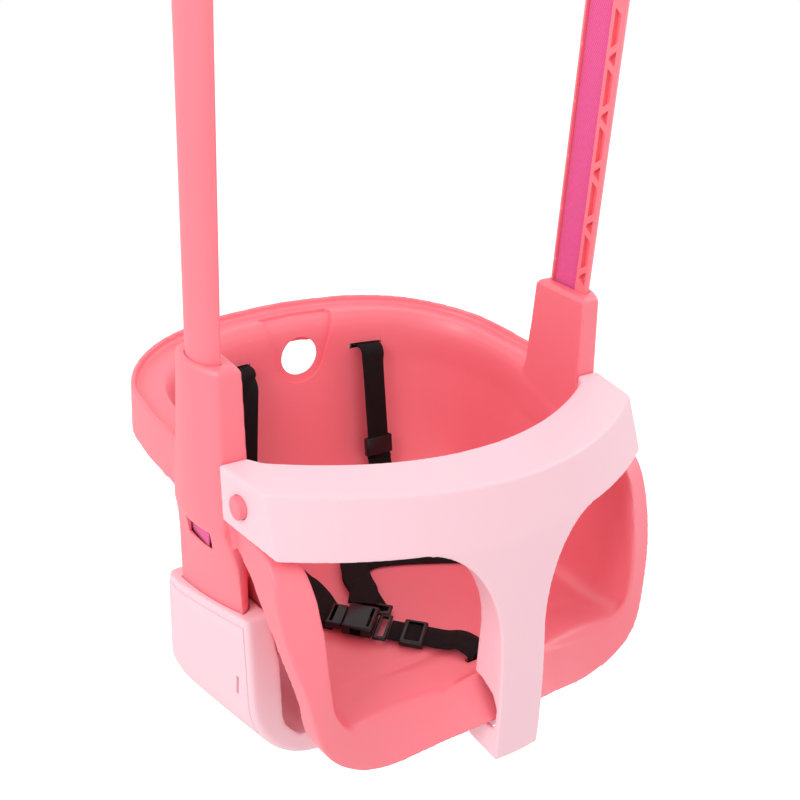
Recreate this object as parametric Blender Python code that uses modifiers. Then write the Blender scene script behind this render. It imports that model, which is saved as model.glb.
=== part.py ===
# Outdoor baby swing: a moulded bucket seat on two stiff arms, with a removable T-shaped guard.
# Units are metres. +X is to the right seen from the front, -Y is the front, +Z is up.
# The origin is the middle of the axis that the swing hangs and turns on.
# The seat is drawn in its own datum: x = 0 in the middle, y = 0 at the front of the columns' tops
# and z = 0 at the columns' tops. The empty seat_datum carries it to its place under the axis.
import math

import bmesh
import bpy
from mathutils import Matrix, Vector

# Clearances
GAP = 0.0003
SLIDE_GAP = 0.0005

# Hanging: the axis stands a short run of free webbing, the ring and the hook's bar above the arms
HANG_RISE = 0.100
RING_WIRE = 0.006
RING_INNER_WIDTH = 0.034
RING_INNER_HEIGHT = 0.040
HOOK_WIRE = 0.008
HOOK_INNER_WIDTH = 0.026
HOOK_INNER_HEIGHT = 0.052
GATE_WIRE = 0.005
GATE_PIN_DIAMETER = 0.0026

# Arms, a rounded outside and an open inner side
ARM_INNER_X = 0.1725
ARM_BULGE = 0.0155
ARM_WIDTH = 0.046
ARM_CENTRE_Y = 0.033
ARM_TOP_Z = 0.292
ARM_SOCKET_DEPTH = 0.100
ARM_WALL = 0.0032
RIB_CHANNEL_WIDTH = 0.0072
RIB_CHANNEL_DEPTH = 0.0045
RIB_THICKNESS = 0.0016
RIB_PITCH = 0.046
RIB_SHORT_CELL = 0.014
RIB_SLANT = 0.005
CAP_HEIGHT = 0.012
CAP_OVERHANG = 0.0022
HANG_HEIGHT = ARM_TOP_Z + HANG_RISE

# Load webbing
WEBBING_WIDTH = 0.029
WEBBING_THICKNESS = 0.002
WEBBING_ROOM = 0.0012
WEBBING_BEND = 0.040

# Columns, moulded in one with the seat
COLUMN_INNER_X = 0.162
COLUMN_FRONT_WIDTH = 0.018
COLUMN_DEPTH = 0.062
COLUMN_WALL = 0.0055
COLUMN_EDGE = 0.004
LEG_TOP_Z = -0.130
LEG_END_Z = -0.250
LEG_RECESS = 0.003
SLOT_TOP_Z = -0.131
SLOT_HEIGHT = 0.025
SLOT_WIDTH = 0.020
SLOT_FRONT_Y = 0.015

# Bucket seat
WALL = 0.004
RIM_Z = -0.081
BACK_RISE = 0.017
BACK_Y = 0.223
SIDE_X = 0.164
FLANGE = 0.024
BACK_FLANGE = 0.027
SKIRT = 0.040
BACK_LEAN = 0.28
SIDE_LEAN = 0.12
FLOOR_Z = -0.250
FLOOR_HALF_WIDTH = 0.122
FLOOR_BACK_Y = 0.146
LIP_Y = -0.122
LIP_RISE = 0.007
NOSE_Y = -0.147
NOSE_DROP = 0.029
NOSE_HALF_WIDTH = 0.026
LEG_SCOOP_DROP = 0.012
STRUT_INNER_X = 0.151
STRUT_FLANGE = 0.025
STRUT_DEPTH = 0.034
HOLE_DIAMETER = 0.039
HOLE_Z = -0.104

# Guard
GUARD_TOP_Z = -0.069
GUARD_HEIGHT = 0.045
GUARD_WALL = 0.004
GUARD_INNER_REACH = 0.072
NOSE_OVERHANG = 0.024
GUARD_OUTER_REACH = -NOSE_Y - NOSE_OVERHANG
GUARD_REAR_Y = -0.005
GUARD_CORNER_Y = -0.057
GUARD_CORNER_INSET = 0.0095
GUARD_SLOPE = 0.0125
GUARD_CORNER_SLOPE = 0.022
POST_HALF_WIDTH = 0.0215
POST_SLOPE = 0.034
POST_BOTTOM_Z = -0.305
OPENING_CORNER_WIDTH = 0.050
OPENING_CORNER_HEIGHT = 0.076

# Latch of the guard
BUTTON_DIAMETER = 0.018
BUTTON_STAND = 0.005
BUTTON_TRAVEL = 0.003
BUTTON_COLLAR_DIAMETER = 0.022
BUTTON_COLLAR_THICKNESS = 0.0014
BUTTON_PIN_DIAMETER = 0.006
BUTTON_Y = -0.032
BUTTON_Z = -0.092
SPRING_DIAMETER = 0.0105
SPRING_WIRE = 0.0009
SPRING_TURNS = 2
LUG_THICKNESS = 0.0026
LUG_LENGTH = 0.046
LUG_HEIGHT = 0.030

# Base under the seat
BASE_TOP_Z = -0.196
BASE_BOTTOM_Z = -0.326
BASE_FLOOR_THICKNESS = 0.018
BASE_FRONT_X = 0.1795
BASE_REAR_X = 0.196
BASE_INNER_TOP_X = 0.1605
BASE_INNER_X = 0.154
BASE_INNER_SLOPE = 0.040
BASE_FRONT_Y = -0.040
BASE_LEAN = 0.018
BASE_REAR_Y = 0.078
BASE_CORNER = 0.050
BASE_INNER_CORNER = 0.026
COVER_THICKNESS = 0.0024
COVER_MARGIN = 0.007
COVER_HEIGHT = 0.090
COVER_REACH = 0.100
TOOL_SLOT_Y = -0.032
TOOL_SLOT_Z = -0.2515
TOOL_SLOT_WIDTH = 0.003
TOOL_SLOT_HEIGHT = 0.017
SCREW_DIAMETER = 0.004
SCREW_HEAD_DIAMETER = 0.009
SCREW_HEAD_HEIGHT = 0.0028
SCREW_LENGTH = 0.022
SCREW_X = 0.172
SCREW_Y = -0.012
SCREW_SEAT_Z = -0.260

# Harness
STRAP_WIDTH = 0.025
STRAP_THICKNESS = 0.0016
STRAP_X = 0.075
STRAP_SLOT_Z = -0.102
STRAP_SLOT_WIDTH = 0.029
STRAP_SLOT_HEIGHT = 0.005
STRAP_LAY = 0.0012
LAP_SLOT_X = 0.102
LAP_SLOT_Y = 0.030
LAP_TURN = math.radians(-35)
ANCHOR_LENGTH = 0.036
ANCHOR_WIDTH = 0.014
ANCHOR_THICKNESS = 0.003
ANCHOR_SLOT = 0.0026
ADJUSTER_LENGTH = 0.019
ADJUSTER_WIDTH = 0.0305
ADJUSTER_THICKNESS = 0.0062
ADJUSTER_Z = -0.204
ROUTE_UNIT = 0.001
RUN_TOP = (192.0 * ROUTE_UNIT, -118.0 * ROUTE_UNIT)
RUN_BOTTOM = (173.5 * ROUTE_UNIT, -219.0 * ROUTE_UNIT)
CHAIN_START = (-87.0 * ROUTE_UNIT, 1.0 * ROUTE_UNIT)
CHAIN_TURN = math.radians(-45.6)
TONGUE_START = 0.003
TONGUE_LENGTH = 0.014
TONGUE_WIDTH = 0.027
TONGUE_THICKNESS = 0.006
PRONG_LENGTH = 0.016
PRONG_WIDTH = 0.0045
PRONG_THICKNESS = 0.0034
PRONG_SPREAD = 0.0165
SOCKET_LENGTH = 0.026
SOCKET_WIDTH = 0.033
SOCKET_THICKNESS = 0.0095
SOCKET_WALL = 0.0024
BUCKLE_LIFT = 0.0034
SLIDER_START = 0.066
SLIDER_LENGTH = 0.020
SLIDER_WIDTH = 0.031
SLIDER_THICKNESS = 0.0056
RING_BAR = 0.003
LINK_START = 0.022
LINK_LENGTH = 0.030
LINK_WIDTH = 0.014
LINK_THICKNESS = 0.003

# Colours, as linear red, green and blue
CORAL = (1.0, 0.165, 0.205)
PALE_PINK = (0.98, 0.68, 0.74)
MAGENTA = (0.86, 0.07, 0.32)
BLACK = (0.012, 0.010, 0.011)
STEEL = (0.62, 0.63, 0.64)

SIDES = {"left": -1, "right": 1}

# Webbing line inside an arm, a column, a leg and the base
WEBBING_X = ARM_INNER_X + 0.0035
WEBBING_Y = ARM_CENTRE_Y + ARM_WIDTH / 2 - ARM_WALL - GAP - WEBBING_WIDTH / 2
WEBBING_FLOOR_Z = BASE_BOTTOM_Z + BASE_FLOOR_THICKNESS / 2


def clear_scene():
    for item in list(bpy.data.objects):
        bpy.data.objects.remove(item, do_unlink=True)


def make_collection(name):
    collection = bpy.data.collections.new(name)
    bpy.context.scene.collection.children.link(collection)
    return collection


def make_material(name, colour, roughness, metallic=0.0):
    material = bpy.data.materials.new(name)
    material.use_nodes = True
    shader = material.node_tree.nodes["Principled BSDF"]
    shader.inputs["Base Color"].default_value = (*colour, 1.0)
    shader.inputs["Roughness"].default_value = roughness
    shader.inputs["Metallic"].default_value = metallic
    material.diffuse_color = (*colour, 1.0)
    return material


clear_scene()
PARTS = make_collection("baby_swing")
CUTTERS = make_collection("cutters")
DATUM = bpy.data.objects.new("seat_datum", None)
DATUM.location = (0.0, -WEBBING_Y, -HANG_HEIGHT)
PARTS.objects.link(DATUM)


def add_object(name, mesh, material=None, parent=DATUM):
    item = bpy.data.objects.new(name, mesh)
    PARTS.objects.link(item)
    item.parent = parent
    if material:
        mesh.materials.append(material)
        mesh.shade_smooth()
        mesh.set_sharp_from_angle(angle=math.radians(35))
    return item


def add_cutter(name, mesh, parent=DATUM):
    item = bpy.data.objects.new(name, mesh)
    CUTTERS.objects.link(item)
    item.parent = parent
    item.hide_render = True
    item.display_type = "WIRE"
    return item


def finish_mesh(name, work, merge=0.00001):
    bmesh.ops.remove_doubles(work, verts=work.verts, dist=merge)
    bmesh.ops.recalc_face_normals(work, faces=work.faces)
    mesh = bpy.data.meshes.new(name)
    work.to_mesh(mesh)
    work.free()
    return mesh


def box_mesh(name, low, high):
    work = bmesh.new()
    bmesh.ops.create_cube(work, size=1.0)
    for vert in work.verts:
        for axis in range(3):
            vert.co[axis] = high[axis] if vert.co[axis] > 0 else low[axis]
    return finish_mesh(name, work)


def cylinder_mesh(name, start, end, diameter, segments=24):
    start = Vector(start)
    end = Vector(end)
    span = end - start
    work = bmesh.new()
    turn = span.to_track_quat("Z", "Y").to_matrix().to_4x4()
    place = Matrix.Translation((start + end) / 2) @ turn
    bmesh.ops.create_cone(work, cap_ends=True, segments=segments, radius1=diameter / 2,
                          radius2=diameter / 2, depth=span.length, matrix=place)
    return finish_mesh(name, work)


def evaluated_mesh(item):
    """The finished mesh of an object, as a new mesh in the same frame."""
    graph = bpy.context.evaluated_depsgraph_get()
    graph.update()
    return bpy.data.meshes.new_from_object(item.evaluated_get(graph), depsgraph=graph)


def outline_mesh(name, outline, low, high, axis="Z"):
    """A flat outline, drawn as a 2D curve and extruded from low to high along an axis."""
    curve = bpy.data.curves.new(name, "CURVE")
    curve.dimensions = "2D"
    curve.fill_mode = "BOTH"
    curve.extrude = (high - low) / 2
    spline = curve.splines.new("POLY")
    spline.points.add(len(outline) - 1)
    for point, place in zip(spline.points, outline):
        point.co = (place[0], place[1], 0.0, 1.0)
    spline.use_cyclic_u = True
    sketch = bpy.data.objects.new(name, curve)
    PARTS.objects.link(sketch)
    mesh = evaluated_mesh(sketch)
    bpy.data.objects.remove(sketch, do_unlink=True)
    middle = (high + low) / 2
    frames = {
        "Z": Matrix.Translation((0, 0, middle)),
        "Y": Matrix.Translation((0, middle, 0)) @ Matrix.Rotation(math.radians(90), 4, "X"),
        "X": Matrix(((0, 0, 1, middle), (1, 0, 0, 0), (0, 1, 0, 0), (0, 0, 0, 1))),
    }
    mesh.transform(frames[axis])
    work = bmesh.new()
    work.from_mesh(mesh)
    bpy.data.meshes.remove(mesh)
    return finish_mesh(name, work)


def loft_mesh(name, rings):
    """A closed body through rings of the same number of points, in flat triangles."""
    work = bmesh.new()
    rows = [[work.verts.new(point) for point in ring] for ring in rings]
    count = len(rings[0])
    for lower, upper in zip(rows[:-1], rows[1:]):
        for index in range(count):
            following = (index + 1) % count
            work.faces.new((lower[index], lower[following], upper[following], upper[index]))
    work.faces.new(rows[0])
    work.faces.new(rows[-1])
    work.normal_update()
    bmesh.ops.triangulate(work, faces=work.faces)
    return finish_mesh(name, work)


def wire_mesh(name, points, diameter, closed=True, sides=2):
    """A round wire along points: a curve with a bevel depth, taken as a mesh."""
    curve = bpy.data.curves.new(name, "CURVE")
    curve.dimensions = "3D"
    curve.bevel_depth = diameter / 2
    curve.bevel_resolution = sides
    curve.use_fill_caps = not closed
    spline = curve.splines.new("POLY")
    spline.points.add(len(points) - 1)
    for point, place in zip(spline.points, points):
        point.co = (*place, 1.0)
    spline.use_cyclic_u = closed
    sketch = bpy.data.objects.new(name, curve)
    PARTS.objects.link(sketch)
    mesh = evaluated_mesh(sketch)
    bpy.data.objects.remove(sketch, do_unlink=True)
    work = bmesh.new()
    work.from_mesh(mesh)
    bpy.data.meshes.remove(mesh)
    return finish_mesh(name, work)


def ribbon_mesh(name, points, across, width, thickness):
    """A strap: a rectangle swept along points, its width along the direction across."""
    points = [Vector(point) for point in points]
    if not isinstance(across, list):
        across = [across] * len(points)
    rings = []
    for index, point in enumerate(points):
        before = points[max(index - 1, 0)]
        after = points[min(index + 1, len(points) - 1)]
        along = (after - before).normalized()
        side = Vector(across[index])
        side = (side - along * side.dot(along)).normalized()
        normal = along.cross(side)
        corners = ((-1, -1), (1, -1), (1, 1), (-1, 1))
        rings.append([point + side * a * width / 2 + normal * b * thickness / 2 for a, b in corners])
    return loft_mesh(name, rings)


def smooth_points(points, steps):
    """Points along a Catmull-Rom curve through the given points."""
    points = [Vector(point) for point in points]
    ends = [2 * points[0] - points[1]] + points + [2 * points[-1] - points[-2]]
    result = []
    for a, b, c, d in zip(ends[:-3], ends[1:-2], ends[2:-1], ends[3:]):
        for step in range(steps):
            t = step / steps
            result.append(0.5 * ((2 * b) + (c - a) * t + (2 * a - 5 * b + 4 * c - d) * t ** 2
                                 + (3 * b - a - 3 * c + d) * t ** 3))
    result.append(points[-1])
    return result


def rounded_path(points, radius, steps=5):
    """A path of straight runs whose corners are arcs of the given radius."""
    points = [Vector(point) for point in points]
    result = [points[0]]
    for before, corner, after in zip(points[:-2], points[1:-1], points[2:]):
        enter = (before - corner).normalized()
        leave = (after - corner).normalized()
        half = enter.angle(leave) / 2
        reach = radius / math.tan(half)
        centre = corner + (enter + leave).normalized() * radius / math.sin(half)
        start = corner + enter * reach - centre
        end = corner + leave * reach - centre
        for step in range(steps + 1):
            result.append(centre + start.slerp(end, step / steps).normalized() * radius)
    result.append(points[-1])
    return result


def boolean(item, cutter, operation="DIFFERENCE"):
    modifier = item.modifiers.new(operation.lower(), "BOOLEAN")
    modifier.operation = operation
    modifier.solver = "EXACT"
    modifier.object = cutter
    return modifier


def mirrored_x(points):
    return [Vector((-p[0], p[1], p[2])) for p in points]


def side_mesh(mesh, side):
    """The mesh as drawn for the right side, or its mirror image for the left."""
    if side > 0:
        return mesh
    mesh.transform(Matrix.Scale(-1, 4, (1, 0, 0)))
    mesh.flip_normals()
    return mesh


# Column and leg sections, drawn for the right side
def bulged_outline(inner_x, front_x, rear_x, bulge, front_y, back_y, grow=0.0, steps=10):
    """A section with flat inner, front and rear sides and an outer side that bulges."""
    inner_x -= grow
    front_y -= grow
    back_y += grow
    points = [(inner_x, front_y)]
    for step in range(steps + 1):
        t = step / steps
        x = front_x + (rear_x - front_x) * t + bulge * math.sin(math.pi * t) ** 0.8 + grow
        points.append((x, front_y + (back_y - front_y) * t))
    points.append((inner_x, back_y))
    return points


COLUMN_MIDDLE_X = ARM_INNER_X + ARM_BULGE + COLUMN_WALL
COLUMN_FRONT_X = COLUMN_INNER_X + COLUMN_FRONT_WIDTH


def column_section(z, grow=0.0):
    """The column's outline at a height: wider towards the leg, which is set back a little."""
    front_x = COLUMN_FRONT_X
    bulge = COLUMN_MIDDLE_X - COLUMN_FRONT_X - 0.0035
    deep = COLUMN_DEPTH
    recess = LEG_RECESS
    levels = [
        (0.0, 0.0, front_x, front_x + 0.005, bulge, 0.0, deep),
        (-0.067, -0.001, front_x + 0.001, front_x + 0.007, bulge, -0.006, deep + 0.002),
        (-0.110, -0.0015, front_x + 0.0025, front_x + 0.0095, bulge - 0.0015, -0.010, deep + 0.003),
        (LEG_TOP_Z, -0.0015, front_x + 0.003, front_x + 0.010, bulge - 0.002, -0.012, deep + 0.003),
        (LEG_TOP_Z - 0.005, -0.001, front_x + 0.003 - recess, front_x + 0.013 - recess, 0.006, -0.011, deep - 0.001),
        (LEG_TOP_Z - 0.022, 0.0015, front_x - recess, front_x + 0.013 - recess, 0.004, -0.023, deep - 0.003),
        (LEG_TOP_Z - 0.056, 0.003, front_x - 0.0015 - recess, front_x + 0.013 - recess, 0.003, -0.032, deep - 0.004),
        (LEG_END_Z, 0.003, front_x - 0.002 - recess, front_x + 0.012 - recess, 0.003, -0.034, deep - 0.006),
    ]
    index = max(i for i, level in enumerate(levels[:-1]) if z <= level[0] + 1e-9)
    upper, lower = levels[index], levels[index + 1]
    share = (upper[0] - z) / (upper[0] - lower[0])
    mixed = [u + (v - u) * share for u, v in zip(upper, lower)]
    return bulged_outline(COLUMN_INNER_X + mixed[1], *mixed[2:], grow)


def section_ring(outline, z):
    return [Vector((x, y, z)) for x, y in outline]


def arm_outline(grow=0.0, steps=16):
    """The arm's D-shaped section: a flat inner side and half an ellipse."""
    points = []
    for step in range(steps + 1):
        angle = math.pi * (step / steps - 0.5)
        x = ARM_INNER_X + (ARM_BULGE + grow) * math.cos(angle)
        points.append((x, ARM_CENTRE_Y + (ARM_WIDTH / 2 + grow) * math.sin(angle)))
    if grow:
        points[0] = (ARM_INNER_X, points[0][1])
        points[-1] = (ARM_INNER_X, points[-1][1])
        points += [(ARM_INNER_X - grow, points[-1][1]), (ARM_INNER_X - grow, points[0][1])]
    return points


def column_mesh(name):
    top = [section_ring(column_section(0.0, -COLUMN_EDGE), 0.0),
           section_ring(column_section(0.0, -COLUMN_EDGE * 0.3), -COLUMN_EDGE * 0.3),
           section_ring(column_section(-COLUMN_EDGE), -COLUMN_EDGE)]
    levels = (-0.035, -0.067, -0.110, LEG_TOP_Z, LEG_TOP_Z - 0.005, LEG_TOP_Z - 0.022, LEG_TOP_Z - 0.056, LEG_END_Z)
    return loft_mesh(name, top + [section_ring(column_section(z), z) for z in levels])


def webbing_room_mesh(name, top, bottom, room=WEBBING_ROOM):
    half_width = WEBBING_WIDTH / 2 + room
    half_thick = WEBBING_THICKNESS / 2 + room
    return box_mesh(name, (WEBBING_X - half_thick, WEBBING_Y - half_width, bottom),
                    (WEBBING_X + half_thick, WEBBING_Y + half_width, top))


# Bucket seat, drawn as the right half of a skin from the skirt over the flange to the floor
def shell_stations():
    """Each station: the rim's inner edge, its outer edge, the skirt's end and the floor's edge."""
    lip_z = FLOOR_Z + LIP_RISE
    scoop_z = FLOOR_Z - LEG_SCOOP_DROP
    nose_z = lip_z - NOSE_DROP
    strut = STRUT_INNER_X
    outer = STRUT_INNER_X + STRUT_FLANGE
    side = SIDE_X
    rim = RIM_Z
    back = BACK_Y
    rise = RIM_Z + BACK_RISE
    floor = FLOOR_HALF_WIDTH
    skirt = SKIRT
    depth = STRUT_DEPTH
    return [
        ((0, LIP_Y, lip_z), (0, NOSE_Y, nose_z), (0, NOSE_Y + 0.019, nose_z - 0.006),
         (0, LIP_Y + 0.022, FLOOR_Z + 0.001), 0.003),
        ((NOSE_HALF_WIDTH, LIP_Y, lip_z), (NOSE_HALF_WIDTH, NOSE_Y, nose_z),
         (NOSE_HALF_WIDTH, NOSE_Y + 0.019, nose_z - 0.006), (0.024, LIP_Y + 0.027, FLOOR_Z + 0.001), 0.003),
        ((0.060, LIP_Y + 0.003, lip_z - 0.012), (0.058, NOSE_Y + 0.013, nose_z - 0.015),
         (0.058, NOSE_Y + 0.037, nose_z - 0.020), (0.052, LIP_Y + 0.034, FLOOR_Z - 0.002), 0.003),
        ((0.100, LIP_Y + 0.006, scoop_z), (0.104, NOSE_Y + 0.021, scoop_z - 0.034),
         (0.100, NOSE_Y + 0.049, scoop_z - 0.038), (0.085, LIP_Y + 0.042, FLOOR_Z - 0.004), 0.003),
        ((0.130, LIP_Y + 0.005, scoop_z + 0.008), (0.138, NOSE_Y + 0.020, scoop_z - 0.018),
         (0.134, NOSE_Y + 0.051, scoop_z - 0.026), (0.104, LIP_Y + 0.044, FLOOR_Z - 0.003), 0.003),
        ((strut - 0.005, LIP_Y + 0.004, -0.232), (outer - 0.017, LIP_Y - 0.001, -0.255),
         (outer - 0.019, LIP_Y - 0.001 + depth * 0.9, -0.265), (floor - 0.008, -0.072, FLOOR_Z), 0.003),
        ((strut - 0.001, -0.116, -0.208), (outer - 0.007, -0.113, -0.206),
         (outer - 0.008, -0.113 + depth * 0.7, -0.222), (floor - 0.004, -0.060, FLOOR_Z), 0.003),
        ((strut, -0.111, -0.182), (outer, -0.102, -0.177),
         (outer - 0.001, -0.102 + depth * 0.8, -0.190), (floor - 0.002, -0.045, FLOOR_Z), 0.003),
        ((strut + 0.001, -0.104, -0.157), (outer + 0.003, -0.090, -0.149),
         (outer + 0.002, -0.090 + depth * 1.1, -0.165), (floor - 0.001, -0.025, FLOOR_Z), 0.003),
        ((strut + 0.003, -0.092, -0.131), (outer + 0.002, -0.078, -0.126),
         (outer + 0.001, -0.078 + depth * 1.35, -0.145), (floor, -0.005, FLOOR_Z), 0.003),
        ((strut + 0.005, -0.068, -0.1165), (outer + 0.001, -0.062, -0.1165),
         (outer, -0.062 + depth * 1.4, -0.136), (floor, 0.012, FLOOR_Z), 0.003),
        ((strut + 0.008, -0.036, -0.1165), (outer + 0.001, -0.036, -0.1165),
         (outer, -0.036 + depth * 1.1, -0.132), (floor, 0.030, FLOOR_Z), 0.003),
        ((strut + 0.010, -0.012, -0.116), (outer + 0.002, -0.012, -0.116),
         (outer + 0.002, -0.012 + depth * 0.7, -0.130), (floor, 0.046, FLOOR_Z), 0.003),
        ((side, 0.030, rim - 0.012), (side + FLANGE - 0.004, 0.030, rim - 0.012),
         (side + FLANGE - 0.004, 0.034, rim - 0.012 - skirt), (floor - 0.001, 0.062, FLOOR_Z), 0.005),
        ((side, 0.072, rim - 0.001), (side + FLANGE, 0.072, rim - 0.001),
         (side + FLANGE, 0.072, rim - 0.003 - skirt), (floor - 0.002, 0.080, FLOOR_Z), 0.005),
        ((side - 0.001, 0.115, rim), (side + FLANGE, 0.120, rim),
         (side + FLANGE, 0.120, rim - skirt), (floor - 0.005, 0.098, FLOOR_Z), 0.006),
        ((side - 0.006, back - 0.068, rim + BACK_RISE * 0.1),
         (side - 0.006 + FLANGE + 0.001, back - 0.068 + 0.012, rim + BACK_RISE * 0.1),
         (side - 0.006 + FLANGE + 0.001, back - 0.068 + 0.012, rim + BACK_RISE * 0.1 - skirt),
         (floor - 0.014, FLOOR_BACK_Y - 0.030, FLOOR_Z), 0.010),
        ((side - 0.022, back - 0.035, rim + BACK_RISE * 0.3),
         (side - 0.022 + FLANGE * 0.8, back - 0.035 + FLANGE * 0.8, rim + BACK_RISE * 0.3),
         (side - 0.022 + FLANGE * 0.8, back - 0.035 + FLANGE * 0.8, rim + BACK_RISE * 0.3 - skirt),
         (floor - 0.030, FLOOR_BACK_Y - 0.016, FLOOR_Z), 0.014),
        ((0.112, back - 0.014, rim + BACK_RISE * 0.6),
         (0.112 + BACK_FLANGE * 0.4, back - 0.014 + BACK_FLANGE * 0.9, rim + BACK_RISE * 0.6),
         (0.112 + BACK_FLANGE * 0.4, back - 0.014 + BACK_FLANGE * 0.9, rim + BACK_RISE * 0.6 - skirt),
         (0.068, FLOOR_BACK_Y - 0.007, FLOOR_Z), 0.016),
        ((0.062, back - 0.003, rise - BACK_RISE * 0.1),
         (0.066, back - 0.003 + BACK_FLANGE * 0.96, rise - BACK_RISE * 0.1),
         (0.066, back - 0.003 + BACK_FLANGE * 0.96, rise - BACK_RISE * 0.1 - skirt),
         (0.036, FLOOR_BACK_Y - 0.002, FLOOR_Z), 0.016),
        ((0, back, rise), (0, back + BACK_FLANGE, rise), (0, back + BACK_FLANGE, rise - skirt),
         (0, FLOOR_BACK_Y, FLOOR_Z), 0.016),
    ]


def shell_rib(edge, rim, skirt, foot, roll, lean, steps=7, fullness=3.4):
    """One line of the skin, from the skirt's end over the flange and down the wall to the floor."""
    inward = Vector((foot.x - edge.x, foot.y - edge.y, 0.0))
    inward = inward.normalized() if inward.length > 0 else Vector((0, 1, 0))
    start = edge + inward * roll + Vector((0, 0, -min(roll, (edge.z - foot.z) * 0.3)))
    points = [skirt, rim, (rim + edge) / 2, edge]
    for step in range(steps + 1):
        angle = math.pi / 2 * step / steps
        sink = math.sin(angle) ** (2 / fullness)
        advance = 1 - math.cos(angle) ** (2 / fullness) if step < steps else 1.0
        flat = start + (foot - start) * (lean * sink + (1 - lean) * advance)
        points.append(Vector((flat.x, flat.y, start.z + (foot.z - start.z) * sink)))
    points.append(Vector((foot.x * 0.5, foot.y, foot.z)))
    points.append(Vector((0.0, foot.y, foot.z)))
    return points


def shell_mesh(name):
    stations = shell_stations()
    columns = []
    for slot in range(4):
        columns.append(smooth_points([station[slot] for station in stations], 2))
    rolls = [station[4] for station in stations]
    work = bmesh.new()
    rows = []
    for index in range(len(columns[0])):
        low = min(index // 2, len(rolls) - 1)
        high = min(low + index % 2, len(rolls) - 1)
        roll = (rolls[low] + rolls[high]) / 2
        lean = SIDE_LEAN + (BACK_LEAN - SIDE_LEAN) * max(0.0, index / (len(columns[0]) - 1) * 3 - 2)
        edge, rim, skirt, foot = [column[index] for column in columns]
        rows.append([work.verts.new(p) for p in shell_rib(edge, rim, skirt, foot, roll, lean)])
    for lower, upper in zip(rows[:-1], rows[1:]):
        for a, b, c, d in zip(lower[:-1], lower[1:], upper[1:], upper[:-1]):
            work.faces.new((a, d, c, b))
    bmesh.ops.remove_doubles(work, verts=work.verts, dist=0.00002)
    bmesh.ops.dissolve_degenerate(work, edges=work.edges, dist=0.00002)
    mesh = bpy.data.meshes.new(name)
    work.to_mesh(mesh)
    work.free()
    return mesh


def make_seat_shell(material):
    """The bucket seat with its rolled rim, side columns and legs, as one moulding."""
    skin = bpy.data.objects.new("shell_skin", shell_mesh("shell_skin"))
    PARTS.objects.link(skin)
    mirror = skin.modifiers.new("mirror", "MIRROR")
    mirror.use_clip = True
    mirror.merge_threshold = 0.0001
    thick = skin.modifiers.new("wall", "SOLIDIFY")
    thick.thickness = WALL
    thick.offset = -1.0
    thick.use_even_offset = True
    mesh = evaluated_mesh(skin)
    bpy.data.objects.remove(skin, do_unlink=True)
    work = bmesh.new()
    work.from_mesh(mesh)
    bpy.data.meshes.remove(mesh)
    shell = add_object("seat_shell", finish_mesh("seat_shell", work), material)
    for label, side in SIDES.items():
        boolean(shell, add_cutter(f"{label}_column", side_mesh(column_mesh("column"), side)), "UNION")
        boolean(shell, add_cutter(f"{label}_lug", side_mesh(lug_mesh(), side)), "UNION")
    for label, side in SIDES.items():
        for cut_name, mesh in shell_cuts().items():
            boolean(shell, add_cutter(f"{label}_{cut_name}", side_mesh(mesh, side)))
    for cut_name, mesh in middle_cuts().items():
        boolean(shell, add_cutter(cut_name, mesh))
    return shell


LUG_OUTER_X = COLUMN_INNER_X - 0.001 + GUARD_WALL + SLIDE_GAP + LUG_THICKNESS


def lug_mesh():
    """The tongue on the column's front that the guard's end slides over, with an open latch slot."""
    low = (LUG_OUTER_X - LUG_THICKNESS, -LUG_LENGTH, BUTTON_Z - LUG_HEIGHT / 2)
    high = (LUG_OUTER_X, 0.006, BUTTON_Z + LUG_HEIGHT / 2)
    return box_mesh("lug", low, high)


def shell_cuts():
    """What is cut from one side of the seat: arm socket, webbing way, slots and screw hole."""
    socket = loft_mesh("socket", [section_ring(arm_outline(SLIDE_GAP), 0.01),
                                  section_ring(arm_outline(SLIDE_GAP), -ARM_SOCKET_DEPTH)])
    way = webbing_room_mesh("webbing_way", -ARM_SOCKET_DEPTH + 0.001, LEG_END_Z - 0.001)
    window = box_mesh("window", (WEBBING_X, SLOT_FRONT_Y, SLOT_TOP_Z - SLOT_HEIGHT),
                      (COLUMN_MIDDLE_X + 0.02, SLOT_FRONT_Y + SLOT_WIDTH, SLOT_TOP_Z))
    latch_half = SPRING_DIAMETER / 2 + SLIDE_GAP
    latch = box_mesh("latch_slot", (LUG_OUTER_X - 2 * LUG_THICKNESS, -LUG_LENGTH - 0.001, BUTTON_Z - latch_half),
                     (LUG_OUTER_X + 0.001, BUTTON_Y + latch_half, BUTTON_Z + latch_half))
    strap = box_mesh("shoulder_slot",
                     (STRAP_X - STRAP_SLOT_WIDTH / 2, BACK_Y - 0.055, STRAP_SLOT_Z - STRAP_SLOT_HEIGHT / 2),
                     (STRAP_X + STRAP_SLOT_WIDTH / 2, BACK_Y + 0.012, STRAP_SLOT_Z + STRAP_SLOT_HEIGHT / 2))
    half = Vector((STRAP_SLOT_WIDTH / 2, STRAP_SLOT_HEIGHT / 2, 0.02))
    lap = box_mesh("lap_slot", -half, half)
    lap.transform(lap_frame(1))
    screw = cylinder_mesh("screw_hole", (SCREW_X, SCREW_Y, LEG_END_Z - 0.001),
                          (SCREW_X, SCREW_Y, SCREW_TIP_Z + 0.001), SCREW_DIAMETER + 2 * GAP)
    return {"socket": socket, "webbing_way": way, "window": window, "latch_slot": latch,
            "shoulder_slot": strap, "lap_slot": lap, "screw_hole": screw}


def lap_frame(side):
    """The lap slot's place in the floor: x along the slot, y across it."""
    place = Matrix.Translation((side * LAP_SLOT_X, LAP_SLOT_Y, FLOOR_Z))
    return place @ Matrix.Rotation(side * LAP_TURN, 4, "Z")


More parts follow.
